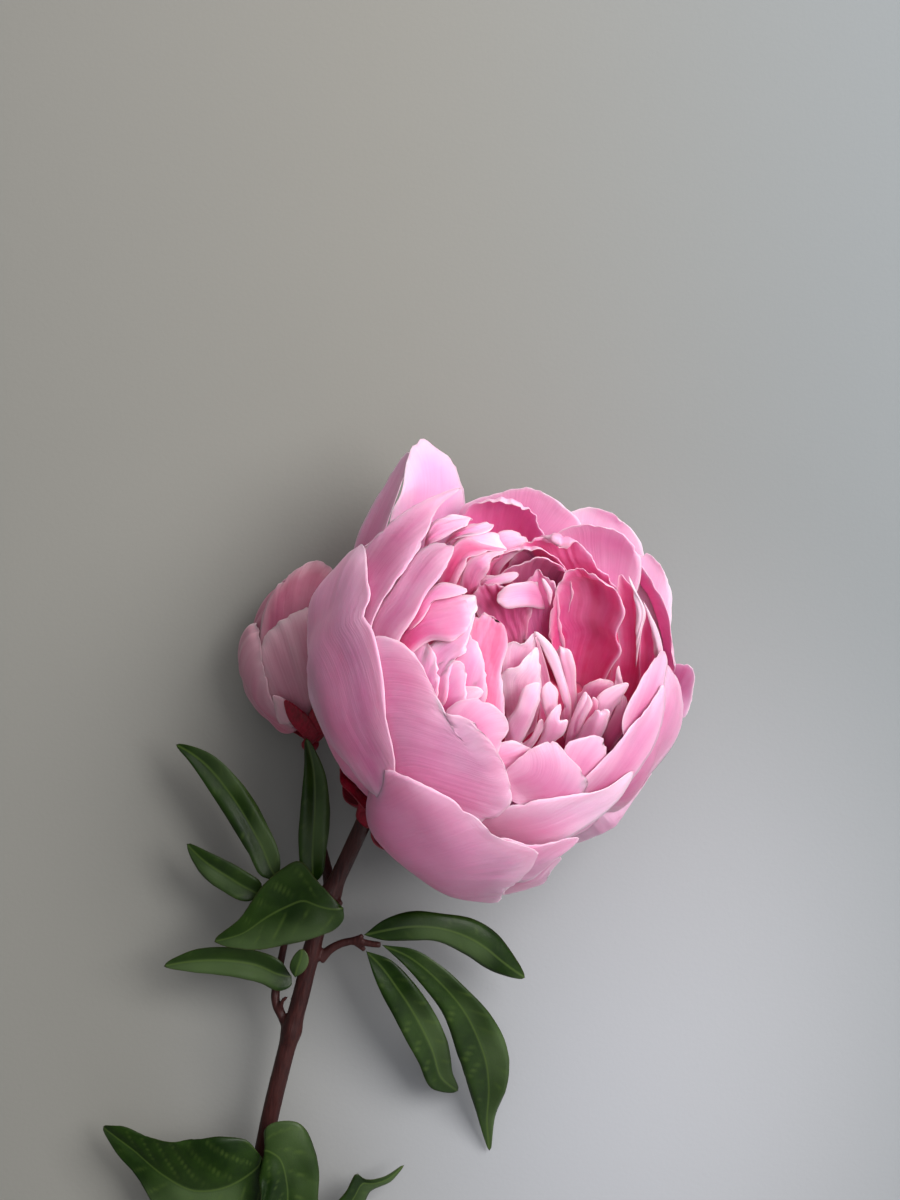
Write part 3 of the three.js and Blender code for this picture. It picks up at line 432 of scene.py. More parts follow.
# Outer petals: the near side, then round the far rim, then underneath
OUTER_PETALS = (
    Blade(
        None,
        (
            (378, 799), (368, 789), (355, 773), (340, 756), (325, 737), (314, 710), (309, 670, FAR),
            (312, 600, FAR),
        ),
        (354, 549),
        ((391, 794), (395, 776), (387, 715), (381, 664), (372, 628), (364, 614), (370, 600),
            (368, 580)),
        radius=58.4, tone=0.45,
    ),
    Blade(
        None,
        (
            (372, 760), (356, 705), (356, 655), (374, 637), (402, 643), (421, 663), (434, 690),
            (442, 712),
            (466, 717), (484, 733),
        ),
        (500, 756), ((440, 818), (485, 822), (512, 800), (509, 780)), radius=56.6,
    ),
    Blade(
        None, ((415, 780), (453, 800), (472, 815), (501, 838)), (538, 853),
        ((370, 815, FAR), (390, 850, FAR), (432, 880, FAR), (480, 897, FAR), (510, 888),
            (528, 872)),
        radius=62.0, tone=0.35,
    ),
    Blade(
        sunk(455, 765, 56.6), ((440, 735), (452, 705), (475, 698)), (508, 722),
        ((480, 778), (498, 752)), radius=54.9,
    ),
    Blade(
        sunk(480, 850, 61.2), ((500, 838), (530, 845)), (579, 838),
        ((500, 880), (525, 881), (553, 862)), radius=59.6,
    ),
    Blade(
        sunk(490, 876, 59.6), ((515, 858), (540, 855)), (561, 857),
        ((510, 893), (530, 888), (550, 873)), radius=58.1,
    ),
    Blade(
        sunk(445, 818, 56.6), ((480, 812), (520, 803), (563, 796), (607, 787)), (634, 772),
        ((470, 850), (530, 852), (584, 827), (620, 798)), radius=54.8, tone=-0.15,
    ),
    Blade(
        sunk(500, 795, 56.6), ((503, 775), (516, 761), (532, 748)), (552, 741),
        ((540, 812), (580, 805), (588, 785), (570, 758)), radius=53.2,
    ),
    Blade(
        sunk(562, 792, 53.2), ((560, 765), (568, 743), (584, 737)), (603, 738),
        ((585, 790), (602, 775), (606, 750)), radius=51.7,
    ),
    Blade(
        sunk(570, 815, 54.8), ((575, 790), (587, 775), (605, 758), (638, 717), (652, 702)),
        (664, 684), ((605, 808), (635, 775), (654, 745), (663, 715)), radius=53.2,
    ),
    Blade(
        sunk(628, 752, 53.2), ((622, 722), (634, 692), (645, 673)), (665, 652),
        ((645, 735), (664, 690)), radius=51.7,
    ),
    Blade(
        sunk(600, 803, 53.2), ((630, 765), (648, 725), (658, 695)), (668, 666, 6),
        ((621, 806, 4), (652, 772, 2), (680, 729, -3), (683, 700, -3)), radius=50.2,
    ),
    Blade(
        sunk(640, 700, 55.5, FAR), ((670, 740, -22), (690, 705, -18)), (690, 665, -10),
        ((650, 670, -30), (670, 664, -18)), radius=58,
    ),
    Blade(
        (372, 610, -26),
        ((377, 560, -1), (392, 515, 2.5), (402, 488, 2.5), (406, 466, 0.5), (410, 450, -3)),
        (424, 439, -8),
        ((440, 600, -24), (466, 540, -20), (465, 500, -17), (459, 476, -14), (449, 457, -11),
            (438, 449, -9)),
        tone=0.0,
    ),
    # Left half of the folded standing petal; its deeper tone is partly painted shade, for that half
    # lies in shade behind the fold
    Blade(
        (345, 612, -22), ((349, 575, -19), (358, 535, -17), (375, 500, -15), (393, 471, -12)),
        (409, 452, -4), ((370, 570, -3), (391, 516, 2), (401, 489, 2)), tone=0.55,
    ),
    Blade(
        sunk(348, 665, 58.4),
        ((340, 625), (342, 595), (357, 560, 10), (380, 531, 14), (420, 503, 16)), (461, 488, 10),
        ((370, 655), (372, 625), (394, 587), (410, 563, 32), (424, 541, 27), (438, 508, 18)),
        radius=56.8, tone=0.8,
    ),
    Blade(
        sunk(372, 665, 56.6), ((366, 625), (392, 587), (419, 551), (437, 543)), (453, 545),
        ((390, 660), (402, 636), (417, 614), (426, 594), (441, 576), (450, 560)), radius=55.1,
        tone=0.7,
    ),
    Blade(
        (505, 566, -7), ((462, 545, -12), (460, 510, -8), (490, 495, -3)),
        (531, 489, 1), ((562, 550, -6), (582, 528, -5), (562, 505, -2)), tone=0.35,
    ),
    Blade(
        (592, 590, -16), ((556, 555, -16), (562, 518, -14), (584, 508, -12)),
        (612, 514, -9), ((636, 590, -17), (645, 556, -14), (632, 530, -11)), tone=-0.45,
    ),
    Blade(
        (596, 604, 5), ((560, 575, 4), (552, 540, 7), (570, 527, 12)), (594, 525, 15),
        ((630, 602, 3), (641, 562, 8), (626, 537, 14)), cup=-2, tone=0.35,
    ),
    Blade(
        (640, 655, -14), ((622, 600, -13), (630, 560, -11), (643, 552, -9)), (657, 561, -6),
        ((662, 645, -13), (672, 605, -10), (667, 577, -7)), tone=-0.5,
    ),
    Blade(
        None, ((352, 770, FAR), (325, 700, FAR), (325, 610, FAR), (355, 555, FAR)), (410, 525, FAR),
        ((400, 740, FAR), (430, 650, FAR), (450, 570, FAR)), radius=55.8,
    ),
    Blade(
        None, ((385, 750, FAR), (410, 650, FAR), (430, 570, FAR)), (530, 520, FAR),
        ((430, 760, FAR), (520, 690, FAR), (600, 600, FAR), (590, 545, FAR)), radius=54.3,
    ),
    Blade(
        None, ((400, 770, FAR), (480, 700, FAR), (570, 610, FAR)), (655, 610, FAR),
        ((430, 800, FAR), (540, 780, FAR), (630, 740, FAR), (672, 670, FAR)), radius=55.8,
    ),
    Blade(
        None, ((400, 790, FAR), (500, 770, FAR), (580, 745, FAR)), (615, 790, FAR),
        ((385, 835, FAR), (430, 860, FAR), (500, 862, FAR), (565, 835, FAR)), radius=54.3,
    ),
    Blade(
        sunk(585, 715, 55.8, FAR), ((620, 645, FAR), (655, 640, FAR), (671, 670, FAR)),
        (676, 706, -6), ((600, 790, FAR), (648, 775, -12), (668, 743, -3)), radius=53.1,
    ),
    Blade(
        sunk(570, 640, 54.3, FAR), ((600, 575, FAR), (640, 565, FAR), (665, 605, 0)), (672, 648, 8),
        ((625, 705, FAR), (660, 700, FAR), (672, 680, -6)), radius=51.9,
    ),
    Blade(
        sunk(545, 765, 55.8, FAR),
        ((600, 735, FAR), (646, 750, -18), (652, 768, -8), (634, 796, 5)), (600, 813, 17),
        ((520, 838, FAR), (554, 845, -2), (580, 829, 10)), radius=51.9,
    ),
    Blade(
        sunk(470, 590, 54.3, FAR), ((432, 550, FAR), (462, 512, -17), (492, 499, -9)),
        (531, 493, -6), ((560, 560, FAR), (582, 531, -17), (560, 508, -9)), radius=61.2, tone=0.2,
    ),
    Blade(
        sunk(565, 590, 54.3, FAR), ((548, 545, FAR), (568, 518, -21), (586, 513, -19)),
        (612, 520, -16), ((638, 585, FAR), (640, 553, -22), (628, 533, -18)), radius=59.6, tone=0.2,
    ),
    Blade(
        sunk(575, 610, 54.3, FAR), ((550, 575, -28), (558, 545, -4), (572, 533, 3)), (594, 531, 6),
        ((630, 602, -22), (635, 560, -3), (621, 542, 4)), radius=56, tone=0.2,
    ),
    Blade(
        sunk(620, 640, 55.5, FAR), ((620, 590, -34), (640, 558, -17)), (655, 566, -13),
        ((655, 660, -30), (668, 604, -17), (664, 581, -14)), radius=58.1,
    ),
    Blade(
        None, ((372, 795, FAR), (342, 770, FAR), (324, 725, FAR), (322, 680, FAR)), (330, 650),
        ((388, 790), (372, 772), (352, 745), (338, 700)), radius=55.6,
    ),
    Blade(
        None, ((400, 792), (440, 802), (490, 815), (540, 812), (580, 795)), (603, 765),
        ((405, 815, FAR), (460, 830, FAR), (520, 830, FAR), (578, 808, FAR)), radius=47.5, tone=0.3,
    ),
)

# Inner petals of the near side, then the tongues that fan out at the top left
INNER_PETALS = (
    Blade(
        sunk(392, 674, 51.9), ((386, 645), (398, 613), (422, 592), (448, 588)), (469, 606),
        ((405, 660), (432, 640), (455, 640), (468, 630)), radius=51.9, tone=0.4,
    ),
    Blade(
        sunk(404, 634, 53.2), ((410, 610), (424, 594), (440, 583.5), (455, 583.5)), (467, 592),
        ((422, 622), (436, 603), (454, 597)), radius=53.2, tone=0.15,
    ),
    Blade(
        sunk(440, 730, 48.0), ((398, 690), (400, 652), (420, 630)), (450, 624),
        ((484, 700), (484, 660), (470, 634)), radius=48.0, tone=0.15,
    ),
    Blade(
        sunk(450, 618, 50.9), ((455, 602), (464, 595)), (476, 597),
        ((466, 630), (472, 618), (479, 606)), radius=50.9, tone=-0.6, rim=RAGGED,
    ),
    Blade(
        sunk(425, 712, 49.0), ((418, 668), (432, 644), (453, 634), (465, 625)), (474, 613),
        ((444, 705), (453, 668), (464, 655), (471, 636)), radius=49.9, tone=-0.15, rim=RAGGED,
    ),
    Blade(
        sunk(408, 706, 50.2), ((394, 680), (398, 660), (408, 646)), (424, 640),
        ((434, 706), (440, 680), (436, 658)), radius=50.2, tone=0.05, rim=RAGGED,
    ),
    Blade(
        sunk(430, 716, 49.5), ((424, 684), (438, 664), (452, 659)), (465, 668),
        ((454, 716), (466, 700), (467, 683)), radius=49.5, tone=0.1, rim=RAGGED,
    ),
    Blade(
        sunk(444, 718, 48.8), ((449, 694), (462, 684), (471, 686)), (483, 692),
        ((460, 722), (476, 708)), radius=48.8, tone=-0.3, rim=RAGGED,
    ),
    Blade(
        (475, 738, -5), ((444, 705), (450, 672), (464, 645), (471, 624), (478, 613)), (489, 614),
        ((490, 745), (505, 715), (503, 690), (503, 665), (508, 642), (503, 624)), radius=47.2,
        tone=0.75,
        rim=RAGGED,
    ),
    Blade(
        (500, 768, -10), ((475, 752), (500, 742)), (530, 748), ((490, 775), (515, 768)),
        radius=50.2, tone=0.3,
    ),
    Blade(
        (458, 640, -4), ((436, 600, 22), (442, 562, 20), (458, 538, 15)), (486, 528, 12),
        ((476, 615, 12), (489, 580, 13), (500, 548, 13)), tone=0.9,
    ),
    Blade(
        (424, 552, 16), ((426, 537, 21), (433, 522, 19.5), (452, 516, 19.5)), (473, 517.5, 20),
        ((430, 545, 24), (450, 535, 24.5), (466, 524.5, 23.5)), tone=-0.1, rim=PLEATED,
    ),
    Blade(
        (440, 548, 17), ((456, 531, 21), (471, 524, 22)), (493, 524, 23),
        ((460, 538, 25), (484, 534, 26), (492, 530, 25)), tone=0.05,
    ),
    Blade(
        (448, 552, 19), ((461, 536, 24), (484, 532, 24.5), (497, 534, 25), (501, 541, 26)),
        (507, 548, 27),
        ((468, 545, 27.5), (484, 549, 29), (497, 554, 29)), tone=-0.4, rim=RAGGED,
    ),
    Blade(
        (478, 592, 12), ((483, 562, 19), (489, 540, 21), (497, 531, 21), (514, 531, 21)),
        (528, 540, 22),
        ((494, 590, 18), (501, 570, 22), (512, 557, 24), (523, 550, 24)), tone=0.1,
    ),
    Blade(
        (444, 598, 20),
        ((438, 583, 26), (446, 559, 28), (458, 541, 27.5), (466, 537.5, 27.5), (482, 544, 29)),
        (506, 551, 30), ((455, 586, 29), (463, 571, 31), (474, 558, 32), (490, 551, 31.5)),
        tone=0.75,
    ),
    Blade(
        (468, 604, 17), ((460, 586, 25), (465, 566, 29), (475, 555, 31), (490, 551.5, 31)),
        (506, 552, 31),
        ((479, 592, 25), (484, 577, 29), (489, 569, 31), (492, 559, 31)), tone=0.25,
    ),
)

# Petals of the heart: near cluster, right cluster, far wall, small middle ones
HEART_PETALS = (
    Blade(
        (515, 735, -4),
        ((502, 700, 28), (498, 668, 39), (504, 646, 43), (511, 641, 44), (521, 643, 44)),
        (534, 631, 44), ((533, 700, 26), (539, 665, 35), (536, 647, 40)), cup=1, tone=-0.35,
    ),
    Blade(
        (512, 752, -6),
        ((504, 720, 26), (498, 690, 38), (498, 674, 42), (504, 668.5, 44), (518, 666, 45),
            (524, 658, 46)),
        (535, 646, 45), ((537, 718, 25), (541, 684, 37), (540, 662, 42)), cup=1.5, tone=-0.6,
    ),
    Blade(
        (566, 744, -5), ((560, 722, 20), (559, 692, 34), (551, 667, 39), (541, 646, 43)),
        (534, 631, 45),
        ((571, 720, 17), (568, 689, 32), (562, 670, 37), (556, 652, 41), (548, 641, 43)),
        cup=0.6, tone=-0.4,
    ),
    Blade(
        (550, 742, -4), ((538, 720, 20), (539, 690, 30), (537, 660, 37)), (536, 637, 41),
        ((557, 722, 15), (552, 690, 26), (546, 662, 34)), cup=-1, tone=0.55,
    ),
    Blade(
        (570, 728, -2), ((564, 700, 17), (562, 670, 26), (555, 652, 30)), (562, 645, 32),
        ((576, 710, 13), (576, 684, 24), (574, 660, 30), (569, 649, 32)), cup=1.2, tone=-0.2,
    ),
    Blade(
        (512, 764, -8),
        ((505, 738, 31), (506, 721, 37), (517, 705, 42), (520, 695, 43), (525, 687, 44)),
        (540, 683, 44), ((521, 744, 29), (531, 725, 35), (537, 709, 40), (541.5, 697, 42)), cup=1,
        tone=-0.15, rim=RAGGED,
    ),
    Blade(
        (552, 752, -6), ((549, 735, 23), (545, 714, 33), (541, 702, 38), (541, 690, 41)),
        (548, 681, 42),
        ((556, 735, 21), (557, 706, 32), (556, 688, 38)), cup=0.8, tone=-0.35,
    ),
    Blade(
        (538, 768, -8), ((530, 753, 27), (542, 733, 33), (549, 713, 38)), (561, 704, 38),
        ((545, 753, 25), (557, 739, 31), (567, 729, 34), (568, 720.5, 35.5), (562, 719.5, 36)),
        cup=0.8,
        tone=0.0, rim=RAGGED,
    ),
    Blade(
        (512, 762, -6), ((515, 747, 29), (532, 735, 33)), (542, 718, 36),
        ((527, 753, 27), (539, 737, 32), (544, 724, 35)), cup=0.5, tone=0.3,
    ),
    Blade(
        (505, 785, -12), ((499, 768, 14), (501, 749, 27)), (512, 740, 31),
        ((522, 776, 14), (529, 757, 23), (528, 747, 28)), cup=1, tone=0.3,
    ),
    Blade(
        (578, 757, -7), ((572, 735, 18), (586, 712, 28), (591, 703, 32)), (593, 696, 34),
        ((591, 740, 16), (601, 718, 25), (599, 702, 31)), cup=1, tone=0.8,
    ),
    Blade(
        (571, 758, -7), ((566, 739, 19), (573, 716, 30), (581, 698, 35)), (586, 691, 37),
        ((577, 740, 20), (585, 718, 31), (592, 702, 35)), cup=0.8, tone=-0.15,
    ),
    Blade(
        (596, 745, -6), ((590, 728, 19), (595, 708, 29), (597, 697, 32), (605, 689.5, 33)),
        (628, 684, 33),
        ((606, 738, 17), (614, 710, 28), (624, 695, 31)), cup=1, tone=-0.2, rim=RAGGED,
    ),
    Blade(
        (590, 728, -3), ((573, 710, 12), (578, 692, 21), (590, 681, 26)), (609, 679, 27),
        ((607, 722, 8), (619, 705, 18), (617, 687, 25)), cup=1, tone=0.2,
    ),
    Blade(
        (612, 707, 8), ((614, 690, 24),), (618.5, 665, 31), ((622, 688, 24),), cup=0.5, tone=-0.2,
    ),
    Blade(
        (578, 762, -8), ((571, 742, 22), (582, 727, 29), (590, 716, 34)), (599, 709, 36),
        ((592, 758, 21), (602, 738, 29), (608, 720, 34), (608.5, 710, 36)), cup=0.8, tone=0.05,
        rim=RAGGED,
    ),
    Blade(
        (600, 757, -9), ((600, 743, 15), (607, 727, 24), (613, 715, 27)), (624, 694, 28),
        ((611, 753, 14), (619, 739, 22), (627, 723, 25), (628, 708, 27)), cup=1, tone=0.45,
    ),
    Blade(
        (600, 748, -9), ((595, 750, 12), (605, 730, 20), (614, 718, 23)), (628, 715, 25),
        ((612, 752, 12), (622, 735, 20), (630, 721, 23)), cup=1, tone=0.7,
    ),
    Blade(
        (575, 702, 0), ((552, 675, 8), (549, 640, 15), (553, 605, 23), (561, 580, 28.5)),
        (576, 567, 31),
        (
            (597, 692, 8), (614, 665, 18), (621, 652, 22), (616, 636, 24), (624, 612, 28),
            (618, 591, 30),
            (602, 581.5, 31), (591, 572, 31),
        ), cup=-7, tone=0.8,
    ),
    Blade(
        (604, 722, -4), ((606, 700, 4), (616, 640, 14), (614, 600, 22)), (621, 576, 27),
        ((632, 705, 6), (640, 650, 18), (638, 615, 24), (633, 590, 27)), cup=-3, tone=0.85,
    ),
    Blade(
        (636, 668, 16), ((636, 635, 25), (636, 608, 28.5), (632.5, 590, 30.5)), (627.5, 575, 31),
        ((641, 636, 25), (646, 613, 29), (643, 602, 30.5), (636, 590, 31.5)), cup=0.4, tone=-0.7,
    ),
    Blade(
        (622, 725, -6), ((634, 690, 6), (637, 655, 14), (639, 630, 20)), (645, 606, 27),
        ((650, 700, 8), (658, 660, 16), (655, 630, 23)), cup=-3, tone=0.75,
    ),
    Blade(
        (658, 668, 10), ((654, 650, 17), (652, 635, 22), (648, 618, 26)), (643, 602, 29),
        ((663, 654, 16), (660, 637, 21), (654, 621, 27)), cup=0.5, tone=-0.7,
    ),
    Blade(
        (545, 662, 0), ((523, 640, 10), (522, 610, 19), (525, 585, 26)), (538, 571, 29),
        ((562, 655, 8), (560, 615, 18), (557, 590, 26), (550, 577, 29)), cup=-2, tone=0.2,
    ),
    Blade((550, 606, 27), ((546, 594, 31),), (542, 578, 34), ((552, 592, 31),), cup=0.4, tone=-0.4),
    Blade(
        (548, 640, 2), ((512, 610, 10), (516, 552, 24), (530, 539, 27)), (545, 536, 28),
        (
            (602, 640, 10), (613, 581, 25), (598, 565, 27), (588, 551, 28), (578, 541, 28.5),
            (564, 549, 28.5),
        ), cup=-6, tone=0.5,
    ),
    Blade(
        (530, 640, 3), ((488, 605, 14), (490, 562, 26), (506, 553, 29)), (525, 549, 30),
        ((566, 610, 14), (564, 566, 27), (546, 552, 30)), cup=-6, tone=0.45,
    ),
    Blade(
        (535, 648, 4), ((500, 612, 14), (503, 573, 27), (520, 564, 30)), (543, 558, 32),
        ((566, 620, 14), (568, 575, 27), (560, 565, 30)), cup=-5, tone=0.2,
    ),
    Blade(
        (480, 620, -2),
        ((440, 590, -4), (450, 545, 4), (461, 516, 10), (472, 505, 13), (490, 502, 15)),
        (512, 505, 16), ((525, 600, -2), (544, 560, 6), (541, 528, 14), (532, 512, 16)), cup=-8,
        tone=0.2,
    ),
    Blade(
        (514, 652, 1), ((499, 641, 12), (478, 616, 20), (474, 592, 27)), (487, 584, 30),
        ((525, 641, 9), (529, 620, 17), (531, 604, 24), (512, 591, 29)), cup=-1, tone=0.55,
        rim=PLEATED,
    ),
    Blade(
        (560, 597, 8), ((542, 584, 22), (524, 582, 29), (507, 586, 30)), (496, 598, 29),
        ((545, 608, 18), (520, 607, 28), (504, 608, 29.5)), cup=0.2, tone=0.1, rim=RAGGED,
    ),
    Blade(
        (472, 598, 21), ((476, 586, 25), (484, 576, 27), (499, 573, 28)), (520, 573, 29),
        ((486, 589, 27), (503, 585, 29), (517, 581, 30)), cup=0.3, tone=-0.05, rim=RAGGED,
    ),
    Blade(
        (500, 655, -2), ((474, 640, 6), (468, 620, 12), (472, 592, 20)), (500, 580, 23),
        ((526, 640, 6), (534, 620, 10), (534, 594, 20)), cup=-3, tone=0.95,
    ),
)

# Petals of the side bud
BUD_PETALS = (
    Blade(
        BUD_ROOT, ((272, 722, FAR), (250, 697, FAR), (254, 655, FAR)), (259, 634),
        ((288, 722), (274, 704), (265, 672)), radius=26.4, tone=-0.3,
    ),
    Blade(
        BUD_ROOT, ((284, 722), (268, 700), (259, 664), (262, 643)), (284, 620),
        ((330, 715), (340, 660), (318, 608)), radius=25.6, tone=-0.55,
    ),
    Blade(
        BUD_ROOT, ((280, 722), (263, 690), (259, 650), (266, 606), (283, 580)), (329, 565),
        ((330, 715), (345, 660), (344, 600)), radius=24.7, tone=0.75,
    ),
    Blade(
        BUD_ROOT, ((290, 724), (280, 724), (275, 712)), (273, 695), ((302, 718), (289, 702)),
        radius=27.6, tone=-0.7,
    ),
    Blade(
        BUD_ROOT, ((318, 718), (308, 680), (310, 620)), (330, 578),
        ((335, 712, FAR), (352, 660, FAR), (348, 600, FAR)), radius=23.3,
    ),
    Blade(
        BUD_ROOT, ((280, 722, FAR), (262, 690, FAR), (262, 620, FAR)), (300, 572, FAR),
        ((310, 720, FAR), (315, 660, FAR), (320, 600, FAR)), radius=23.3,
    ),
    Blade(
        BUD_ROOT, ((292, 722, FAR), (276, 690, FAR), (278, 625, FAR)), (291, 588),
        ((287, 722), (268, 690), (264, 645), (270, 608)), radius=21.5,
    ),
    Blade(
        BUD_ROOT, ((300, 722, FAR), (290, 660, FAR), (300, 610, FAR)), (325, 568, FAR),
        ((330, 712, FAR), (350, 650, FAR), (345, 600, FAR)), radius=21.9,
    ),
)

# Sepals under the bloom
BLOOM_SEPALS = (
    Blade(
        None, ((368, 812, FAR), (352, 794, FAR), (341, 783, -4)), (341, 769, -4),
        ((380, 796, FAR), (367, 777, FAR), (353, 764, -14)), radius=61.4,
    ),
    Blade(
        None, ((367, 826, -16), (359, 814, -11)), (361, 797, -6), ((378, 822, -12), (376, 806, -9)),
        radius=62.4,
    ),
    Blade(
        None, ((372, 838, -14), (394, 852, -24)), (416, 844, -37),
        ((382, 815, -34), (404, 818, -42)), radius=63.4,
    ),
    Blade(
        None, ((362, 806, -32), (380, 780, -44)), (372, 752, -46),
        ((345, 800, -24), (347, 772, -36)), radius=63.8,
    ),
)

# Sepals under the side bud
BUD_SEPALS = (
    Blade((310, 741, -3), ((300, 733), (288, 718)), (284, 701), ((318, 733), (306, 714)),
        radius=29.6),
    Blade((310, 741, -3), ((316, 732), (308, 717)), (318, 703), ((327, 732), (330, 714)),
        radius=29.6),
    Blade(
        (310, 741, -3), ((298, 735, FAR), (280, 722, FAR)), (274, 704, FAR),
        ((318, 737, FAR), (304, 720, FAR)), radius=29.6,
    ),
)

# Where each leaflet grows from its stalk
LEAF_ROOTS = {
    "left_leaflet_1": (279, 881, 26.5),
    "left_leaflet_2": (312, 884, 28),
    "left_leaflet_3": (261, 896, 25),
    "left_leaflet_4": (291, 976, 25.5),
    "left_leaflet_5": (295, 977, 28.9),
    "bract_leaf": (343, 908, 36.5),
    "right_leaflet_1": (364, 935, 31.5),
    "right_leaflet_2": (366, 951, 28.5),
    "right_leaflet_3": (382, 945, 31.5),
    "low_leaflet_1": (262, 1157, 22),
    "low_leaflet_2": (268, 1156, 23.5),
    "low_leaflet_3": (294, 1263, 11),
}

LEAFLETS = {
    "left_leaflet_1": Blade(
        LEAF_ROOTS["left_leaflet_1"],
        ((264, 877, 26), (248, 850, 26), (217, 800, 26), (190, 762, 25)), (176, 745, 23),
        ((281, 862, 26), (267, 822, 26), (243, 783, 26), (209, 753, 25)), fold=1.6, arch=2,
    ),
    "left_leaflet_2": Blade(
        LEAF_ROOTS["left_leaflet_2"],
        ((303, 872, 28), (299, 845, 28), (301, 805, 27), (304, 766, 27.4)), (306, 738, 28.2),
        ((318, 880, 28), (327, 848, 28), (330, 806, 27), (322, 765, 27)), fold=1.6, arch=1,
    ),
    "left_leaflet_3": Blade(
        LEAF_ROOTS["left_leaflet_3"], ((262, 884, 25), (243, 868, 25), (213, 853, 24)),
        (187, 844, 22),
        ((249, 901, 25), (222, 889, 24), (197, 866, 23)), fold=1.2, arch=1,
    ),
    "left_leaflet_4": Blade(
        LEAF_ROOTS["left_leaflet_4"],
        ((281, 960, 25.5), (257, 950, 25), (226, 946, 24), (190, 951, 22)), (164, 966, 20),
        ((292, 984, 25.5), (281, 990, 25.5), (262, 982, 25), (230, 975, 24), (190, 971, 22)),
        fold=1.4, arch=1,
    ),
    "left_leaflet_5": Blade(
        LEAF_ROOTS["left_leaflet_5"], ((290, 968, 30), (294, 955, 30.6)), (302, 949, 31.5),
        ((304, 971, 30.2), (309, 958, 31)), fold=0.6,
    ),
    "bract_leaf": Blade(
        LEAF_ROOTS["bract_leaf"],
        ((331, 896, 37.5), (314, 878, 37), (298, 861, 35), (280, 870, 34), (263, 885, 33.5),
            (240, 918, 32)),
        (214, 942, 30.5),
        ((344, 918, 36.5), (337, 928, 36), (318, 937, 35.5), (281, 946, 34), (243, 950, 32)),
        fold=-1.4, arch=1,
    ),
    "right_leaflet_1": Blade(
        LEAF_ROOTS["right_leaflet_1"],
        ((382, 921, 31.5), (410, 911, 31), (441, 913, 30), (474, 919, 28), (495, 932, 26),
            (511, 952, 24)),
        (525, 978, 22),
        ((383, 940, 31.5), (410, 941, 31), (434, 941, 30), (465, 955, 27), (493, 972, 24)),
        fold=-1.6, arch=2,
    ),
    "right_leaflet_2": Blade(
        LEAF_ROOTS["right_leaflet_2"],
        ((376, 980, 27), (395, 1015, 23), (416, 1055, 17), (432, 1086, 11.5)), (458, 1091, 9),
        ((388, 957, 28), (413, 979, 26), (431, 1004, 23), (445, 1035, 18), (451, 1069, 12)),
        fold=1.6, arch=2,
    ),
    "right_leaflet_3": Blade(
        LEAF_ROOTS["right_leaflet_3"],
        ((401, 961, 30.5), (420, 980, 28), (440, 1005, 24.5), (457, 1050, 18), (474, 1102, 9),
            (483, 1133, 4.5)),
        (489, 1151, 2.5),
        ((413, 948, 31), (441, 962, 29.5), (463, 980, 27), (490, 1008, 22.5), (508, 1050, 16),
            (506, 1081, 11.5), (495, 1113, 7)),
        fold=1.8, arch=2,
    ),
    "low_leaflet_1": Blade(
        LEAF_ROOTS["low_leaflet_1"],
        ((250, 1140, 22), (225, 1133, 22), (187, 1137, 20), (150, 1135, 18), (118, 1124, 16)),
        (104, 1126, 15),
        ((268, 1195, 20), (240, 1235, 17), (200, 1238, 15), (165, 1212, 14), (137, 1173, 14),
            (114, 1148, 14.5)),
        fold=2, arch=1.5,
    ),
    "low_leaflet_2": Blade(
        LEAF_ROOTS["low_leaflet_2"], ((262, 1180, 25.5), (258, 1215, 24), (256, 1250, 19)),
        (272, 1288, 14),
        ((270, 1124, 26), (297, 1121, 26), (315, 1152, 24), (318, 1190, 21), (306, 1245, 17)),
        fold=1.6,
    ),
    "low_leaflet_3": Blade(
        LEAF_ROOTS["low_leaflet_3"],
        ((315, 1224, 12.5), (345, 1190, 14), (357, 1171, 15.5), (366, 1178, 14), (384, 1176, 12)),
        (404, 1165, 10), ((335, 1240, 10), (360, 1208, 10), (369, 1192, 10.5), (392, 1180, 10)),
        fold=1,
    ),
}

# The stem from the bloom down to its cut end, and its radii
STEM_MARKS = (
    (351, 850, 36), (322, 915, 30.5), (301, 995, 24.6), (285, 1055, 20), (271, 1112, 16),
    (254, 1200, 10.8), (232, 1320, 5.2), (216, 1400, 2.9),
)
STEM_RADII = (2.5, 2.6, 2.7, 2.75, 2.8, 2.85, 2.9)

# Leaf stalks as outline points with heights, and their radii
STALK_MARKS = (
    (
        (
            (289, 1034, 21.5), (283, 1018, 21.5), (276, 1003, 21), (276, 985, 20.5), (281, 960, 21),
            (286, 935, 22.5), (288, 918, 23.5),
        ),
        (1.6, 1.4, 1.2, 1.1),
    ),
    (((283, 1014, 21.4), (281, 1006, 22.5), (283, 1000, 23.5), (287, 997, 24)), (0.9, 0.6)),
    (((320, 960, 27.2), (328, 951, 27.8), (340, 944, 28.6), (356, 940, 29.5)), (1.7, 1.3, 1.2)),
)
BUD_STALK = ((330, 896, 30.5), (328, 875, 23), (320, 840, 17.5), (312, 790, 14.5))

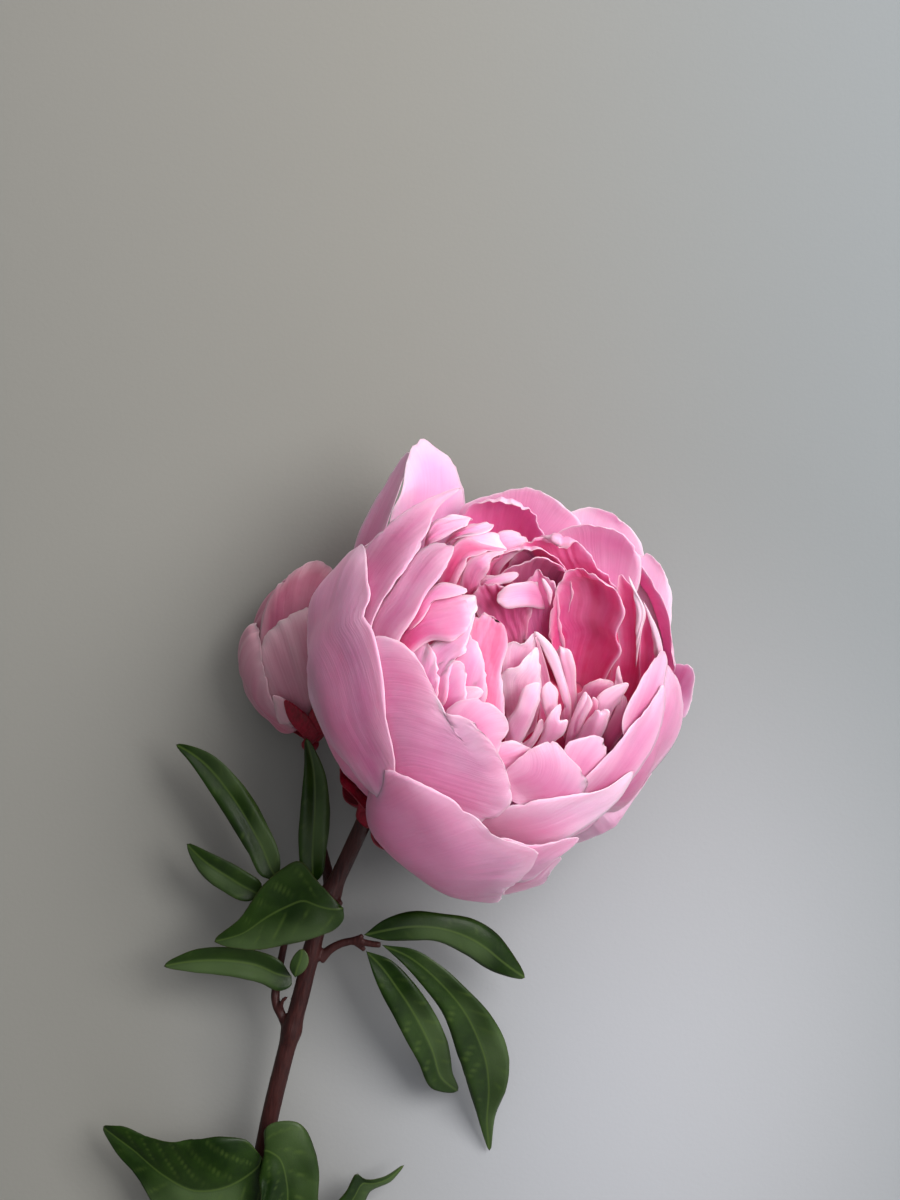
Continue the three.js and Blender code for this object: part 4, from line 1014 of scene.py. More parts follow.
# The last stretch to each leaflet: radii, points, and how far short of its root it ends
LEAF_STALKS = {
    "left_leaflet_1": ((0.9, 0.8), ((286, 930, 22.8), (281, 905, 24.5)), 0.45),
    "left_leaflet_2": ((0.9, 0.8), ((286, 928, 22.8), (299, 903, 25)), 0.45),
    "left_leaflet_3": ((0.9, 0.8), ((286, 932, 22.8), (275, 912, 23.6)), 0.45),
    "left_leaflet_4": ((0.9, 0.7), ((276, 990, 20.6), (284, 986, 23)), 1.5),
    "bract_leaf": ((1.4, 0.9), ((331, 895, 32.4), (339, 902, 34.6)), 1.55),
    "right_leaflet_1": ((1.0, 0.8), ((350, 941, 29.2), (358, 938, 30.4)), 0.45),
    "right_leaflet_2": ((1.0, 0.8), ((352, 941, 29.2), (360, 946, 29)), 0.45),
    "right_leaflet_3": ((1.2, 1.0), ((350, 941, 29.2), (362, 942, 29.9), (372, 944, 30.6)), 0.45),
    "low_leaflet_1": ((1.5, 1.0), ((258, 1186, 11.5), (262, 1172, 16)), 2.15),
    "low_leaflet_2": ((1.2, 0.9), ((259, 1184, 12.5), (266, 1170, 17.5)), 1.15),
    "low_leaflet_3": ((1.4, 0.8), ((238, 1290, 6.6), (262, 1280, 8), (284, 1268, 9.8)), 0.45),
}


@dataclass
class Skin:
    """The points, faces and marks of one piece while it is put together."""

    points: list[Array] = field(default_factory=list)
    faces: list[tuple[int, ...]] = field(default_factory=list)
    flat: list[bool] = field(default_factory=list)
    uv: list[Array] = field(default_factory=list)
    marks: dict[str, list[Array]] = field(default_factory=dict)
    count: int = 0

    def add_points(self, points: Array, uv: Array, marks: dict[str, Array]) -> int:
        """Add points to the piece.

        Args:
            points: The points, in mm.
            uv: Texture position of each.
            marks: Other values of each, by name.

        Returns:
            The number of the first one.
        """
        first = self.count
        self.points.append(points)
        self.uv.append(uv)
        for name, values in marks.items():
            self.marks.setdefault(name, []).append(values)
        self.count += len(points)
        return first

    def add_face(self, *corners: int, flat: bool = False) -> None:
        """Add a face, unless it has shrunk to a line.

        Args:
            *corners: Numbers of its points, in order.
            flat: Whether it is shaded flat.
        """
        loop = [c for k, c in enumerate(corners) if c != corners[k - 1]]
        if len(loop) > 2:
            self.faces.append(tuple(loop))
            self.flat.append(flat)

    def add_sheet(
        self, face: Array, normals: Array, thick: Array, uv: Array, marks: dict[str, Array]
    ) -> None:
        """Add a closed thin sheet that comes to a point at its root and its tip.

        Args:
            face: The points of its middle surface, row by row.
            normals: Unit normals towards its outer side.
            thick: Its thickness at each point.
            uv: Texture position of each point.
            marks: Other values of each point. "inside" is added to them.
        """
        nu, nv = face.shape[0] - 1, face.shape[1] - 1
        half = normals * thick[..., None] / 2
        keep = np.ones((nu + 1, nv + 1), bool)
        keep[0, 1:] = keep[-1, 1:] = False
        number = np.cumsum(keep.ravel()).reshape(keep.shape) - 1
        number[0], number[-1] = number[0, 0], number[-1, 0]
        sides = []
        for sign, inside in ((1, 0.0), (-1, 1.0)):
            values = {name: v[keep] for name, v in marks.items()}
            values["inside"] = np.full(int(keep.sum()), inside)
            sides.append(self.add_points((face + sign * half)[keep], uv[keep], values) + number)
        front, back = (s.tolist() for s in sides)
        for rows in (0, nu):
            back[rows] = front[rows]
        i, j = nu // 2, nv // 2
        turned = np.cross(face[i + 1, j] - face[i, j], face[i, j + 1] - face[i, j])
        if turned @ normals[i, j] < 0:
            front, back = back, front
        for i in range(nu):
            f0, f1, b0, b1 = front[i], front[i + 1], back[i], back[i + 1]
            for j in range(nv):
                self.add_face(f0[j], f1[j], f1[j + 1], f0[j + 1])
                self.add_face(b0[j], b0[j + 1], b1[j + 1], b1[j])
            self.add_face(f1[0], f0[0], b0[0], b1[0], flat=True)
            self.add_face(f0[nv], f1[nv], b1[nv], b0[nv], flat=True)

    def join_rings(self, first: int, rings: int, sides: int, turned: bool = False) -> None:
        """Join rings of points into a closed skin.

        Args:
            first: Number of the first point.
            rings: Number of rings.
            sides: Number of points in a ring.
            turned: Whether the rings run the other way round.
        """
        for i in range(rings - 1):
            for j in range(sides):
                a, b = first + i * sides + j, first + i * sides + (j + 1) % sides
                if turned:
                    self.add_face(a, a + sides, b + sides, b)
                else:
                    self.add_face(a, b, b + sides, a + sides)
        last = first + (rings - 1) * sides
        for start, back in ((first, not turned), (last, turned)):
            ring = range(start, start + sides)
            self.add_face(*(reversed(ring) if back else ring))

    def add_rod(self, points: Array, radii: Array, sides: int, marks: dict[str, float]) -> None:
        """Add a round rod with closed ends.

        Args:
            points: The points of its middle line, in mm.
            radii: Its radius at each.
            sides: Number of its sides.
            marks: Values that all its points share, by name.
        """
        way = unit(np.gradient(points, axis=0))
        across = unit(np.cross(way[0], (0.0, 0.0, 1.0)))
        turn = np.linspace(0, 2 * math.pi, sides, endpoint=False)[:, None]
        rings = []
        for p, d, r in zip(points, way, radii):
            across = unit(across - d * (across @ d))
            up = np.cross(across, d)
            rings.append(p + r * (np.cos(turn) * across + np.sin(turn) * up))
        number = np.repeat(np.arange(len(points)), sides)
        uv = np.stack([np.tile(turn[:, 0], len(points)), number], axis=1)
        values = {name: np.full(len(uv), v) for name, v in marks.items()}
        self.join_rings(self.add_points(np.concatenate(rings), uv, values), len(points), sides)

    def build(self, name: str, material: bpy.types.Material) -> bpy.types.Object:
        """Make the piece's object, in metres, at the origin.

        Args:
            name: Name of the object.
            material: Its finish.

        Returns:
            The new object, linked to the scene.
        """
        mesh = bpy.data.meshes.new(name)
        mesh.from_pydata(placed(np.concatenate(self.points)).tolist(), [], self.faces)
        mesh.polygons.foreach_set("use_smooth", [not f for f in self.flat])
        loops = np.empty(len(mesh.loops), int)
        mesh.loops.foreach_get("vertex_index", loops)
        layer = mesh.uv_layers.new(name="UVMap")
        layer.uv.foreach_set("vector", np.concatenate(self.uv)[loops].astype(np.float32).ravel())
        for mark, values in self.marks.items():
            data = mesh.attributes.new(mark, "FLOAT", "POINT").data
            data.foreach_set("value", np.concatenate(values).astype(np.float32))
        mesh.materials.append(material)
        mesh.validate()
        mesh.update()
        return stood(name, mesh)


def placed(points: Array) -> Array:
    """Turn points in mm from under the bloom into metres from the origin."""
    return (points - np.array([*ORIGIN, FLAT])) * MM


def stood(name: str, data: bpy.types.ID) -> bpy.types.Object:
    """Put a mesh, a light or a camera in the scene, at the origin.

    Args:
        name: Name of the object.
        data: What it shows.

    Returns:
        The new object.
    """
    thing = bpy.data.objects.new(name, data)
    bpy.context.scene.collection.objects.link(thing)
    return thing


def marked(margin: float, along: float, tone: float, inside: float = 0.0) -> dict[str, float]:
    """Name the marks that all points of a rod or a ball share."""
    return {"margin": margin, "along": along, "tone": tone, "inside": inside}


@dataclass(frozen=True)
class Lay:
    """Where the points of a blade's face lie on the blade, row by row."""

    u: Array  # 0 at the root to 1 at the tip
    x: Array  # mm from the middle line
    y: Array  # mm from the root
    wide: Array  # mm, width of each row
    long: float  # mm, length of the blade
    edge: Array  # mm from the nearest free edge
    across: Array  # mm across the fan of veins, which spreads from below the root
    along: Array  # 0 to 1 along that fan

    @classmethod
    def of(cls, face: Array, a: Array, b: Array, fan: float = 0.25) -> Lay:
        """Measure a face between its two margins.

        Args:
            face: The points of the face, row by row.
            a: The points of its left margin.
            b: The points of its right margin.
            fan: How far below the root the veins would meet, in lengths of the blade.

        Returns:
            The places of all its points.
        """
        nu, nv = face.shape[0] - 1, face.shape[1] - 1
        u = np.linspace(0, 1, nu + 1)[:, None]
        v = np.linspace(-1, 1, nv + 1)[None, :]
        long = length_of((a + b) / 2)
        wide = np.linalg.norm(b - a, axis=1)[:, None]
        x, y = v * wide / 2, u * long + 0 * v
        near = max(1, nu // 6)
        margin = np.concatenate([evenly(q[near:], EDGE_POINTS) for q in (a, b)])
        edge = np.linalg.norm(face[:, :, None] - margin, axis=-1).min(axis=-1)
        edge[near:, 0] = edge[near:, -1] = 0
        edge[-1] = 0
        across = np.arctan2(x, y + fan * long) * long * (1 + fan)
        along = np.hypot(x, y + fan * long) / ((1 + fan) * long)
        return cls(u, x, y, wide, long, edge, across, along)


@dataclass(frozen=True)
class Growth:
    """How blades of one kind grow: their fineness, thickness and rims."""

    step: float  # size of a cell, in mm
    thick: float  # thickness in the middle, in mm
    rim: Rim = Rim()
    side: Side = Side.OUT
    veined: bool = False  # with a midrib and side veins, as a leaflet has
    rest: float = 0.0  # least height of the middle surface
    swelling: float = 26.0  # mm from one slow swelling of the face to the next
    curling: float = 15.0  # mm from one turn of the edge to the next
    turned: float = 3.2  # mm of the edge that turn outwards
    thinned: float = 2.0  # mm of the edge that are thinner
    bitten: float = 2.2  # mm in from the edge that a nick is felt
    drawn_to: float = 0.55  # place along the middle line that the edge is nicked towards
    relief: float = 0.28  # mm that a leaflet stands up between its side veins
    groove: float = 0.3  # mm that its midrib is sunk
    midrib: float = 0.5  # mm that its midrib adds at the root

    def lift(self, rim: Rim, face: Array, lay: Lay, rng: np.random.Generator) -> Array:
        """Raise a face in slow swellings, long folds, waves and a turned edge.

        Args:
            rim: How its edge lives.
            face: The points of the face.
            lay: Where they lie on the blade.
            rng: Source of the waves.

        Returns:
            The height of each point over the face, in mm.
        """
        reach = min(rim.reach, 0.42 * lay.wide.max())
        close = np.clip(1 - lay.edge / reach, 0, 1) ** 1.5
        tight = np.clip(1 - lay.edge / self.turned, 0, 1) ** 2
        phase = lay.across + 1.6 * swell(face, rng, 24)
        lift = rim.swell * swell(face, rng, self.swelling) * ease(lay.edge / 5 + 0.2)
        lift = lift + rim.pleat * ripple(phase, rng, rim.fold) * ease(lay.along * 1.6 - 0.3)
        lift = lift + rim.wave * close * ripple(phase, rng, rim.length)
        return lift + rim.curl * tight * (0.55 + 0.45 * ripple(lay.across, rng, self.curling))

    def veins(self, lay: Lay, rng: np.random.Generator) -> tuple[Array, Array]:
        """Lay out a leaflet's midrib and its side veins, which bend to the tip.

        Args:
            lay: Where the points lie on the leaflet.
            rng: Source of the veins' spacing.

        Returns:
            The height of each point, in mm, and how much it is on a side vein.
        """
        spacing = rng.uniform(6.5, 8.0)
        x, y = lay.x, lay.y
        bent = y - 1.05 * np.abs(x) + 0.012 * x * x
        shifted = bent + np.where(x > 0, spacing / 2, 0)  # the sides' veins alternate
        between = np.abs(np.sin(math.pi * shifted / spacing))
        away = ease((np.abs(x) - 0.8) / 3) * ease(lay.edge / 3.5)  # from midrib and margin
        raised = self.relief * between**0.7 * away
        sunken = self.groove * bump(x / 0.9) * ease(lay.wide / 8)
        return raised - sunken, bump(between / 0.16) * away

    def bite(self, rim: Rim, lay: Lay, rng: np.random.Generator) -> Array:
        """Cut the edge with fine unevenness and nicks.

        Args:
            rim: How the edge lives.
            lay: Where the points lie on the blade.
            rng: Source of the nicks.

        Returns:
            How far each point would go in if it lay on the edge, in mm.
        """
        s = lay.across
        bite = rim.fine * (ripple(s, rng, 2.2) + 1.5 * ripple(s, rng, 6.0))
        for _ in range(rng.poisson(rim.nicks * float(s.max() - s.min()))):
            at, width = rng.uniform(s.min(), s.max()), rng.uniform(0.4, 1.2)
            bite = bite + rim.nick * rng.uniform(0.5, 1.6) * bump((s - at) / width)
        return bite

    def add(self, skin: Skin, blade: Blade, head: Head, rng: np.random.Generator) -> None:
        """Grow one blade and add it to a piece.

        Args:
            skin: The piece that it joins.
            blade: The drawing of the blade.
            head: The head that it belongs to.
            rng: Source of the chances of its growth.
        """
        rim = blade.rim or self.rim
        face, a, b = blade.grid(head, self.step)
        nu, nv = face.shape[0] - 1, face.shape[1] - 1
        n = grid_normals(face)
        outward = np.array([0, 0, 1])
        if self.side is Side.OUT:
            outward = face[nu // 2, nv // 2] - np.array(head.middle)
        if n[nu // 2, nv // 2] @ outward < 0:
            n = -n
        lay = Lay.of(face, a, b)
        lift = self.lift(rim, face, lay, rng)
        tone = np.full(lay.edge.shape, blade.tone)
        if self.veined:
            height, tone = self.veins(lay, rng)
            lift = lift + height
        bite = self.bite(rim, lay, rng) * np.exp(-lay.edge / self.bitten)
        free = ease(lay.u * 4 - 0.4)  # the blade stays as drawn near its root
        inward = unit(face[int(nu * self.drawn_to), nv // 2] - face)
        face = face + n * (lift * free)[..., None]
        face = face + inward * (bite * free)[..., None]
        face[0], face[-1] = face[0, 0], face[-1, nv // 2]
        face[..., 2] = np.maximum(face[..., 2], self.rest)
        m = grid_normals(face)
        m *= np.sign((m * n).sum(-1, keepdims=True) + 1e-9)
        thick = self.thick * (0.3 + 0.7 * ease(lay.edge / self.thinned)) * ease(lay.u * 6 + 0.15)
        if self.veined:
            thick = thick + self.midrib * bump(lay.x / 0.7) * (1 - 0.75 * lay.u)
        shift = rng.uniform(-200, 200)  # mm, so that no two petals are veined alike
        if self.veined:
            uv = np.stack([lay.x, lay.y], -1)
        else:
            uv = np.stack([lay.across, lay.along * lay.long], -1) + shift
        marks = {"margin": lay.edge, "along": lay.along, "tone": tone}
        skin.add_sheet(face, m, thick, uv, marks)

    def grow(
        self, skin: Skin, blades: Sequence[Blade], head: Head, rng: np.random.Generator
    ) -> None:
        """Grow blades one after the other; the arguments are those of add."""
        for blade in blades:
            self.add(skin, blade, head, rng)


class Graph:
    """A node tree while it is wired up."""

    def __init__(self, tree: bpy.types.NodeTree) -> None:
        """Start from an emptied tree."""
        self.tree = tree
        tree.nodes.clear()

    def add(
        self, kind: str, inputs: dict[str | int, Value] | None = None, **props: object
    ) -> bpy.types.Node:
        """Add a node.

        Args:
            kind: Its type.
            inputs: Values and links of its inputs, by name or number.
            **props: Its own settings, which are set first.

        Returns:
            The new node.
        """
        node = self.tree.nodes.new(kind)
        for name, value in props.items():
            setattr(node, name, value)
        for key, value in (inputs or {}).items():
            if isinstance(value, bpy.types.NodeSocket):
                self.tree.links.new(value, node.inputs[key])
            else:
                node.inputs[key].default_value = value
        return node

    def math(self, operation: str, a: Value, b: Value = 0.0) -> bpy.types.NodeSocket:
        """Work out a value from two."""
        return self.add("ShaderNodeMath", {0: a, 1: b}, operation=operation).outputs[0]

    def vector(
        self, operation: str, a: Value, key: int | str | None = None, value: Value = 0.0
    ) -> bpy.types.Node:
        """Work on a vector, with one more input by name or number if it needs one."""
        inputs = {0: a} if key is None else {0: a, key: value}
        return self.add("ShaderNodeVectorMath", inputs, operation=operation)

    def between(
        self, value: Value, low: float, high: float, to: tuple[float, float] = (0.0, 1.0)
    ) -> bpy.types.NodeSocket:
        """Ease a value from one range to another."""
        ins = {"Value": value, "From Min": low, "From Max": high, "To Min": to[0], "To Max": to[1]}
        return self.add("ShaderNodeMapRange", ins, interpolation_type="SMOOTHSTEP").outputs[0]

    def blend(self, share: Value, a: Value, b: Value) -> bpy.types.NodeSocket:
        """Blend two colours."""
        return self.add("ShaderNodeMix", {0: share, 6: a, 7: b}, data_type="RGBA").outputs[2]

    def mark(self, name: str) -> bpy.types.NodeSocket:
        """Read a mark of the mesh."""
        node = self.add("ShaderNodeAttribute", attribute_name=name, attribute_type="GEOMETRY")
        return node.outputs["Fac"]

    def noise(
        self, vector: Value, scale: float, detail: float = 2.0, rough: float = 0.5
    ) -> bpy.types.NodeSocket:
        """Read soft noise at a place."""
        ins = {"Vector": vector, "Scale": scale, "Detail": detail, "Roughness": rough}
        return self.add("ShaderNodeTexNoise", ins).outputs["Fac"]

    def relief(self, strength: float, depth: float, height: Value) -> bpy.types.NodeSocket:
        """Turn a height into a normal; depth is in metres."""
        ins = {"Strength": strength, "Distance": depth, "Height": height}
        return self.add("ShaderNodeBump", ins).outputs[0]

    def group(self, tree: bpy.types.NodeTree, inputs: dict[str | int, Value]) -> bpy.types.Node:
        """Place a shared group of nodes."""
        return self.add("ShaderNodeGroup", inputs, node_tree=tree)

    def here(self) -> bpy.types.NodeSocket:
        """Read the place on the object, in metres."""
        return self.add("ShaderNodeTexCoord").outputs["Object"]

    def finish(self, surface: dict[str, Value]) -> None:
        """End a material in a Principled shader with some inputs."""
        shader = self.add("ShaderNodeBsdfPrincipled", surface)
        self.add("ShaderNodeOutputMaterial", {0: shader.outputs[0]})


def rgb(red: float, green: float, blue: float) -> Colour:
    """Turn a colour seen on a screen, 0 to 255, into a linear one.

    Args:
        red: Its red.
        green: Its green.
        blue: Its blue.

    Returns:
        The linear colour, with an alpha of 1.
    """
    parts = (part / 255 for part in (red, green, blue))
    linear = (c / 12.92 if c <= 0.04045 else ((c + 0.055) / 1.055) ** 2.4 for c in parts)
    return *linear, 1.0


def new_group(
    name: str, inputs: dict[str, tuple[str, Value]], outputs: Sequence[str]
) -> bpy.types.NodeTree:
    """Start a shared shader node group.

    Args:
        name: Its name.
        inputs: Socket type and default value of each input, by name.
        outputs: Names of its outputs, each a value.

    Returns:
        The group, still without nodes.
    """
    tree = bpy.data.node_groups.new(name, "ShaderNodeTree")
    for label, (kind, default) in inputs.items():
        socket = tree.interface.new_socket(label, in_out="INPUT", socket_type=kind)
        if default is not None:
            socket.default_value = default
    for label in outputs:
        tree.interface.new_socket(label, in_out="OUTPUT", socket_type="NodeSocketFloat")
    return tree


def streak_group() -> bpy.types.NodeTree:
    """Build the fine lengthwise veins that petals, sepals and stalks share.

    Returns:
        The group, with its place, width and length as inputs.
    """
    inputs = {
        "Place": ("NodeSocketVector", None),
        "Width": ("NodeSocketFloat", 1.0),
        "Length": ("NodeSocketFloat", 12.0),
    }
    tree = new_group("lengthwise veins", inputs, ("Fine", "Broad"))
    g = Graph(tree)
    start = g.add("NodeGroupInput")
    place = g.add("ShaderNodeSeparateXYZ", {0: start.outputs["Place"]})
    across = g.math("DIVIDE", place.outputs[0], start.outputs["Width"])
    run = g.math("DIVIDE", place.outputs[1], start.outputs["Length"])
    at = g.add("ShaderNodeCombineXYZ", {0: across, 1: run, 2: place.outputs[2]}).outputs[0]
    fine = g.between(g.noise(at, 1.0, 3.0, 0.55), 0.34, 0.68)
    broad = g.between(g.noise(at, 0.22, 2.0, 0.5), 0.3, 0.7)
    g.add("NodeGroupOutput", {"Fine": fine, "Broad": broad})
    return tree


def mottle_group() -> bpy.types.NodeTree:
    """Build the soft clouding and fine grain of a living surface.

    Returns:
        The group, with its place and the size of a cloud as inputs.
    """
    inputs = {"Place": ("NodeSocketVector", None), "Size": ("NodeSocketFloat", 0.01)}
    tree = new_group("soft mottling", inputs, ("Clouds", "Grain"))
    g = Graph(tree)
    start = g.add("NodeGroupInput")
    share = g.math("DIVIDE", 1.0, start.outputs["Size"])
    scaled = g.vector("SCALE", start.outputs["Place"], 3, share).outputs[0]
    clouds = g.between(g.noise(scaled, 1.0, 3.0, 0.6), 0.3, 0.7)
    grain = g.noise(scaled, 22.0, 2.0, 0.6)
    g.add("NodeGroupOutput", {"Clouds": clouds, "Grain": grain})
    return tree


@dataclass(frozen=True)
class Shared:
    """The shader node groups that the finishes place, each built once."""

    streaks: bpy.types.NodeTree = field(default_factory=streak_group)
    mottle: bpy.types.NodeTree = field(default_factory=mottle_group)


def new_material(name: str) -> tuple[bpy.types.Material, Graph]:
    """Start a node material.

    Args:
        name: Its name.

    Returns:
        The material, and its emptied node tree.
    """
    material = bpy.data.materials.new(name)
    material.use_nodes = True
    return material, Graph(material.node_tree)


@dataclass(frozen=True)
class PetalFinish:
    """Soft petal skin: deep at its root, paler to its rim, with fine veins; the deep root is partly
    painted shade.
    """

    name: str
    # root: the petal's own deeper base, and partly painted shade at the feet of the petals, where
    # they crowd together
    root: Colour
    body: Colour
    edge: Colour
    deep: Colour
    inside: Colour
    halo: float = 9.0  # mm, how far in from the rim the petal is paler
    halo_share: float = 0.45
    rim_width: float = 0.9  # mm
    rim_share: float = 0.5
    tip_share: float = 0.45
    vein: float = 0.11  # how much the fine veins show
    sheen: float = 0.12
    roughness: float = 0.5
    root_start: float = 0.2  # where along the petal its root colour starts to go
    root_end: float = 0.75  # where along it the root colour has gone
    tip_start: float = 0.6  # where along it the pale tip starts
    cloud: float = 0.009  # m, size of a cloud

    def colour(self, g: Graph, veins: bpy.types.Node, clouds: Value) -> bpy.types.NodeSocket:
        """Mix the petal's colour, from its root to its rim.

        Args:
            g: The material's node tree.
            veins: The node of the lengthwise veins.
            clouds: The soft clouding.

        Returns:
            The colour.
        """
        along, margin = g.mark("along"), g.mark("margin")
        broad, fine = veins.outputs["Broad"], veins.outputs["Fine"]
        # Root to body: partly the petal's own deep base, partly painted shade down between the
        # petals
        colour = g.blend(g.between(along, self.root_start, self.root_end), self.root, self.body)
        tip = g.between(g.math("ADD", along, g.math("MULTIPLY", broad, 0.12)), self.tip_start, 1.08)
        colour = g.blend(g.math("MULTIPLY", tip, self.tip_share), colour, self.edge)
        colour = g.blend(g.math("MULTIPLY", g.mark("inside"), 0.75), colour, self.inside)
        # Tone: partly each blade's own colour, partly painted shade (deeper) or painted light
        # (paler), set blade by blade
        uneven = g.math("MULTIPLY", g.mark("tone"), g.between(broad, 0, 1, (0.7, 1.0)))
        pale = g.math("MULTIPLY", uneven, -1.0)
        colour = g.blend(g.math("MAXIMUM", uneven, 0.0), colour, self.deep)
        colour = g.blend(g.math("MAXIMUM", pale, 0.0), colour, self.edge)
        reach = g.math("ADD", margin, g.math("MULTIPLY", broad, 1.5))
        halo = g.between(reach, 0.5, self.halo, (self.halo_share, 0.0))
        colour = g.blend(halo, colour, self.edge)
        close = g.math("ADD", margin, g.math("MULTIPLY", broad, 0.6))
        rim = g.between(close, 0.1, self.rim_width, (self.rim_share, 0.0))
        colour = g.blend(rim, colour, self.edge)
        line = g.math("MULTIPLY", g.math("SUBTRACT", 1.0, fine), self.vein)
        line = g.math("MULTIPLY", line, g.between(margin, 0.0, 9.0, (0.35, 1.0)))
        colour = g.blend(line, colour, self.deep)
        return g.blend(g.math("MULTIPLY", clouds, 0.1), colour, self.edge)

    def material(self, shared: Shared) -> bpy.types.Material:
        """Build the material.

        Args:
            shared: The node groups that it places.

        Returns:
            The material.
        """
        material, g = new_material(self.name)
        uv = g.add("ShaderNodeUVMap", uv_map="UVMap").outputs[0]
        veins = g.group(shared.streaks, {"Place": uv, "Width": 0.9, "Length": 26.0})
        mottle = g.group(shared.mottle, {"Place": g.here(), "Size": self.cloud})
        clouds, grain = mottle.outputs["Clouds"], mottle.outputs["Grain"]
        fine = g.math("MULTIPLY", veins.outputs["Fine"], 0.8)
        height = g.math("ADD", fine, g.math("MULTIPLY", grain, 0.2))
        rough = (self.roughness - 0.06, self.roughness + 0.1)
        g.finish({
            "Base Color": self.colour(g, veins, clouds),
            "Roughness": g.between(clouds, 0, 1, rough),
            "Normal": g.relief(0.35, 0.00012, height), "Specular IOR Level": 0.35,
            "Subsurface Weight": 0.6, "Subsurface Radius": (1.0, 0.5, 0.65),
            "Subsurface Scale": 0.0025, "Sheen Weight": self.sheen, "Sheen Roughness": 0.4,
        })
        return material


@dataclass(frozen=True)
class LeafFinish:
    """Leaf skin: satin dark green above with pale veins and painted sheen, muted grey green below.
    """

    name: str = "leaf skin"
    above: Colour = rgb(12, 31, 1)
    light: Colour = rgb(34, 56, 8)
    # painted sheen: pale grey green where light would catch a leaflet
    painted_sheen: Colour = rgb(78, 96, 60)
    vein: Colour = rgb(84, 104, 46)
    below: Colour = rgb(58, 80, 40)
    rim: Colour = rgb(70, 52, 32)
    cloud: float = 0.012  # m, size of a cloud

    def material(self, shared: Shared) -> bpy.types.Material:
        """Build the material.

        Args:
            shared: The node groups that it places.

        Returns:
            The material.
        """
        material, g = new_material(self.name)
        uv = g.add("ShaderNodeUVMap", uv_map="UVMap").outputs[0]
        here = g.here()
        mottle = g.group(shared.mottle, {"Place": here, "Size": self.cloud})
        clouds, grain = mottle.outputs["Clouds"], mottle.outputs["Grain"]
        side = g.add("ShaderNodeSeparateXYZ", {0: uv}).outputs[0]
        midrib = g.between(g.math("ABSOLUTE", side), 0.12, 0.5, (1.0, 0.0))
        inside = g.mark("inside")
        colour = g.blend(g.math("MULTIPLY", clouds, 0.6), self.above, self.light)
        # Painted sheen: broad patches, stronger towards one side of the midrib, turn the green
        # paler where light would catch that half
        sheen_patch = g.between(g.noise(here, 38.0, 1.0), 0.38, 0.66)
        half = g.between(side, -1.2, 1.2, (0.1, 0.6))
        colour = g.blend(g.math("MULTIPLY", sheen_patch, half), colour, self.painted_sheen)
        colour = g.blend(g.math("MULTIPLY", g.mark("tone"), 0.3), colour, self.vein)
        colour = g.blend(g.math("MULTIPLY", midrib, 0.32), colour, self.vein)
        colour = g.blend(g.math("MULTIPLY", inside, 0.8), colour, self.below)
        rim = g.between(g.mark("margin"), 0.05, 0.4, (0.25, 0.0))
        colour = g.blend(rim, colour, self.rim)
        height = g.math("ADD", g.math("MULTIPLY", grain, 0.5), clouds)
        matt = g.math("ADD", clouds, g.math("MULTIPLY", inside, 2.0))
        g.finish({
            "Base Color": colour, "Roughness": g.between(matt, 0.0, 3.0, (0.36, 0.62)),
            "Normal": g.relief(0.4, 0.0002, height), "Specular IOR Level": 0.16,
            "Subsurface Weight": 0.06, "Subsurface Radius": (0.6, 1.0, 0.3),
            "Subsurface Scale": 0.001,
        })
        return material


@dataclass(frozen=True)
class StalkFinish:
    """Smooth stalk skin, streaked lengthwise."""

    name: str
    body: Colour
    light: Colour
    roughness: float
    lie: float = 0.2  # radians that the stem lies turned from straight down the view
    cloud: float = 0.01  # m, size of a cloud

    def material(self, shared: Shared) -> bpy.types.Material:
        """Build the material.

        Args:
            shared: The node groups that it places.

        Returns:
            The material.
        """
        material, g = new_material(self.name)
        here = g.here()
        in_mm = {"Vector": here, "Rotation": (0.0, 0.0, self.lie), "Scale": (1000.0,) * 3}
        place = g.add("ShaderNodeMapping", in_mm).outputs[0]
        streaks = g.group(shared.streaks, {"Place": place, "Width": 0.8, "Length": 22.0})
        fine = streaks.outputs["Fine"]
        mottle = g.group(shared.mottle, {"Place": here, "Size": self.cloud})
        clouds, grain = mottle.outputs["Clouds"], mottle.outputs["Grain"]
        colour = g.blend(g.math("MULTIPLY", fine, 0.45), self.body, self.light)
        colour = g.blend(g.math("MULTIPLY", clouds, 0.35), colour, self.light)
        height = g.math("ADD", fine, g.math("MULTIPLY", grain, 0.4))
        rough = (self.roughness - 0.08, self.roughness + 0.1)
        g.finish({
            "Base Color": colour, "Roughness": g.between(clouds, 0, 1, rough),
            "Normal": g.relief(0.5, 0.0002, height), "Specular IOR Level": 0.25,
            "Subsurface Weight": 0.05, "Subsurface Radius": (1.0, 0.4, 0.3),
            "Subsurface Scale": 0.001,
        })
        return material


# Its dark root is partly painted shade at the petals' feet, and its inside is paler than its body
# partly as painted light on the inner faces, which lie in shade
OUTER_FINISH = PetalFinish(
    "outer petal skin", root=rgb(112, 34, 66), body=rgb(224, 138, 178), edge=rgb(234, 192, 212),
    deep=rgb(180, 76, 128), inside=rgb(240, 154, 198), halo_share=0.35, root_end=0.8,
)
# Its root colour runs far up each petal, partly the petals' own deep base and partly painted shade
# between the crowded petals of the heart
INNER_FINISH = PetalFinish(
    "inner petal skin", root=rgb(184, 18, 92), body=rgb(238, 124, 178), edge=rgb(252, 210, 230),
    deep=rgb(200, 22, 96), inside=rgb(236, 110, 168), halo=3.5, halo_share=0.3, rim_width=0.7,
    root_end=0.8, tip_share=0.5, tip_start=0.55,
)
BUD_FINISH = PetalFinish(
    "bud petal skin", root=rgb(160, 40, 80), body=rgb(164, 82, 112), edge=rgb(200, 158, 166),
    deep=rgb(128, 42, 74), inside=rgb(176, 96, 130), halo=6.0,
)
LEAF_FINISH = LeafFinish()
SEPAL_FINISH = StalkFinish("sepal skin", rgb(96, 2, 20), rgb(156, 12, 46), roughness=0.44)
STALK_FINISH = StalkFinish("stalk skin", rgb(34, 8, 8), rgb(66, 28, 24), roughness=0.5)


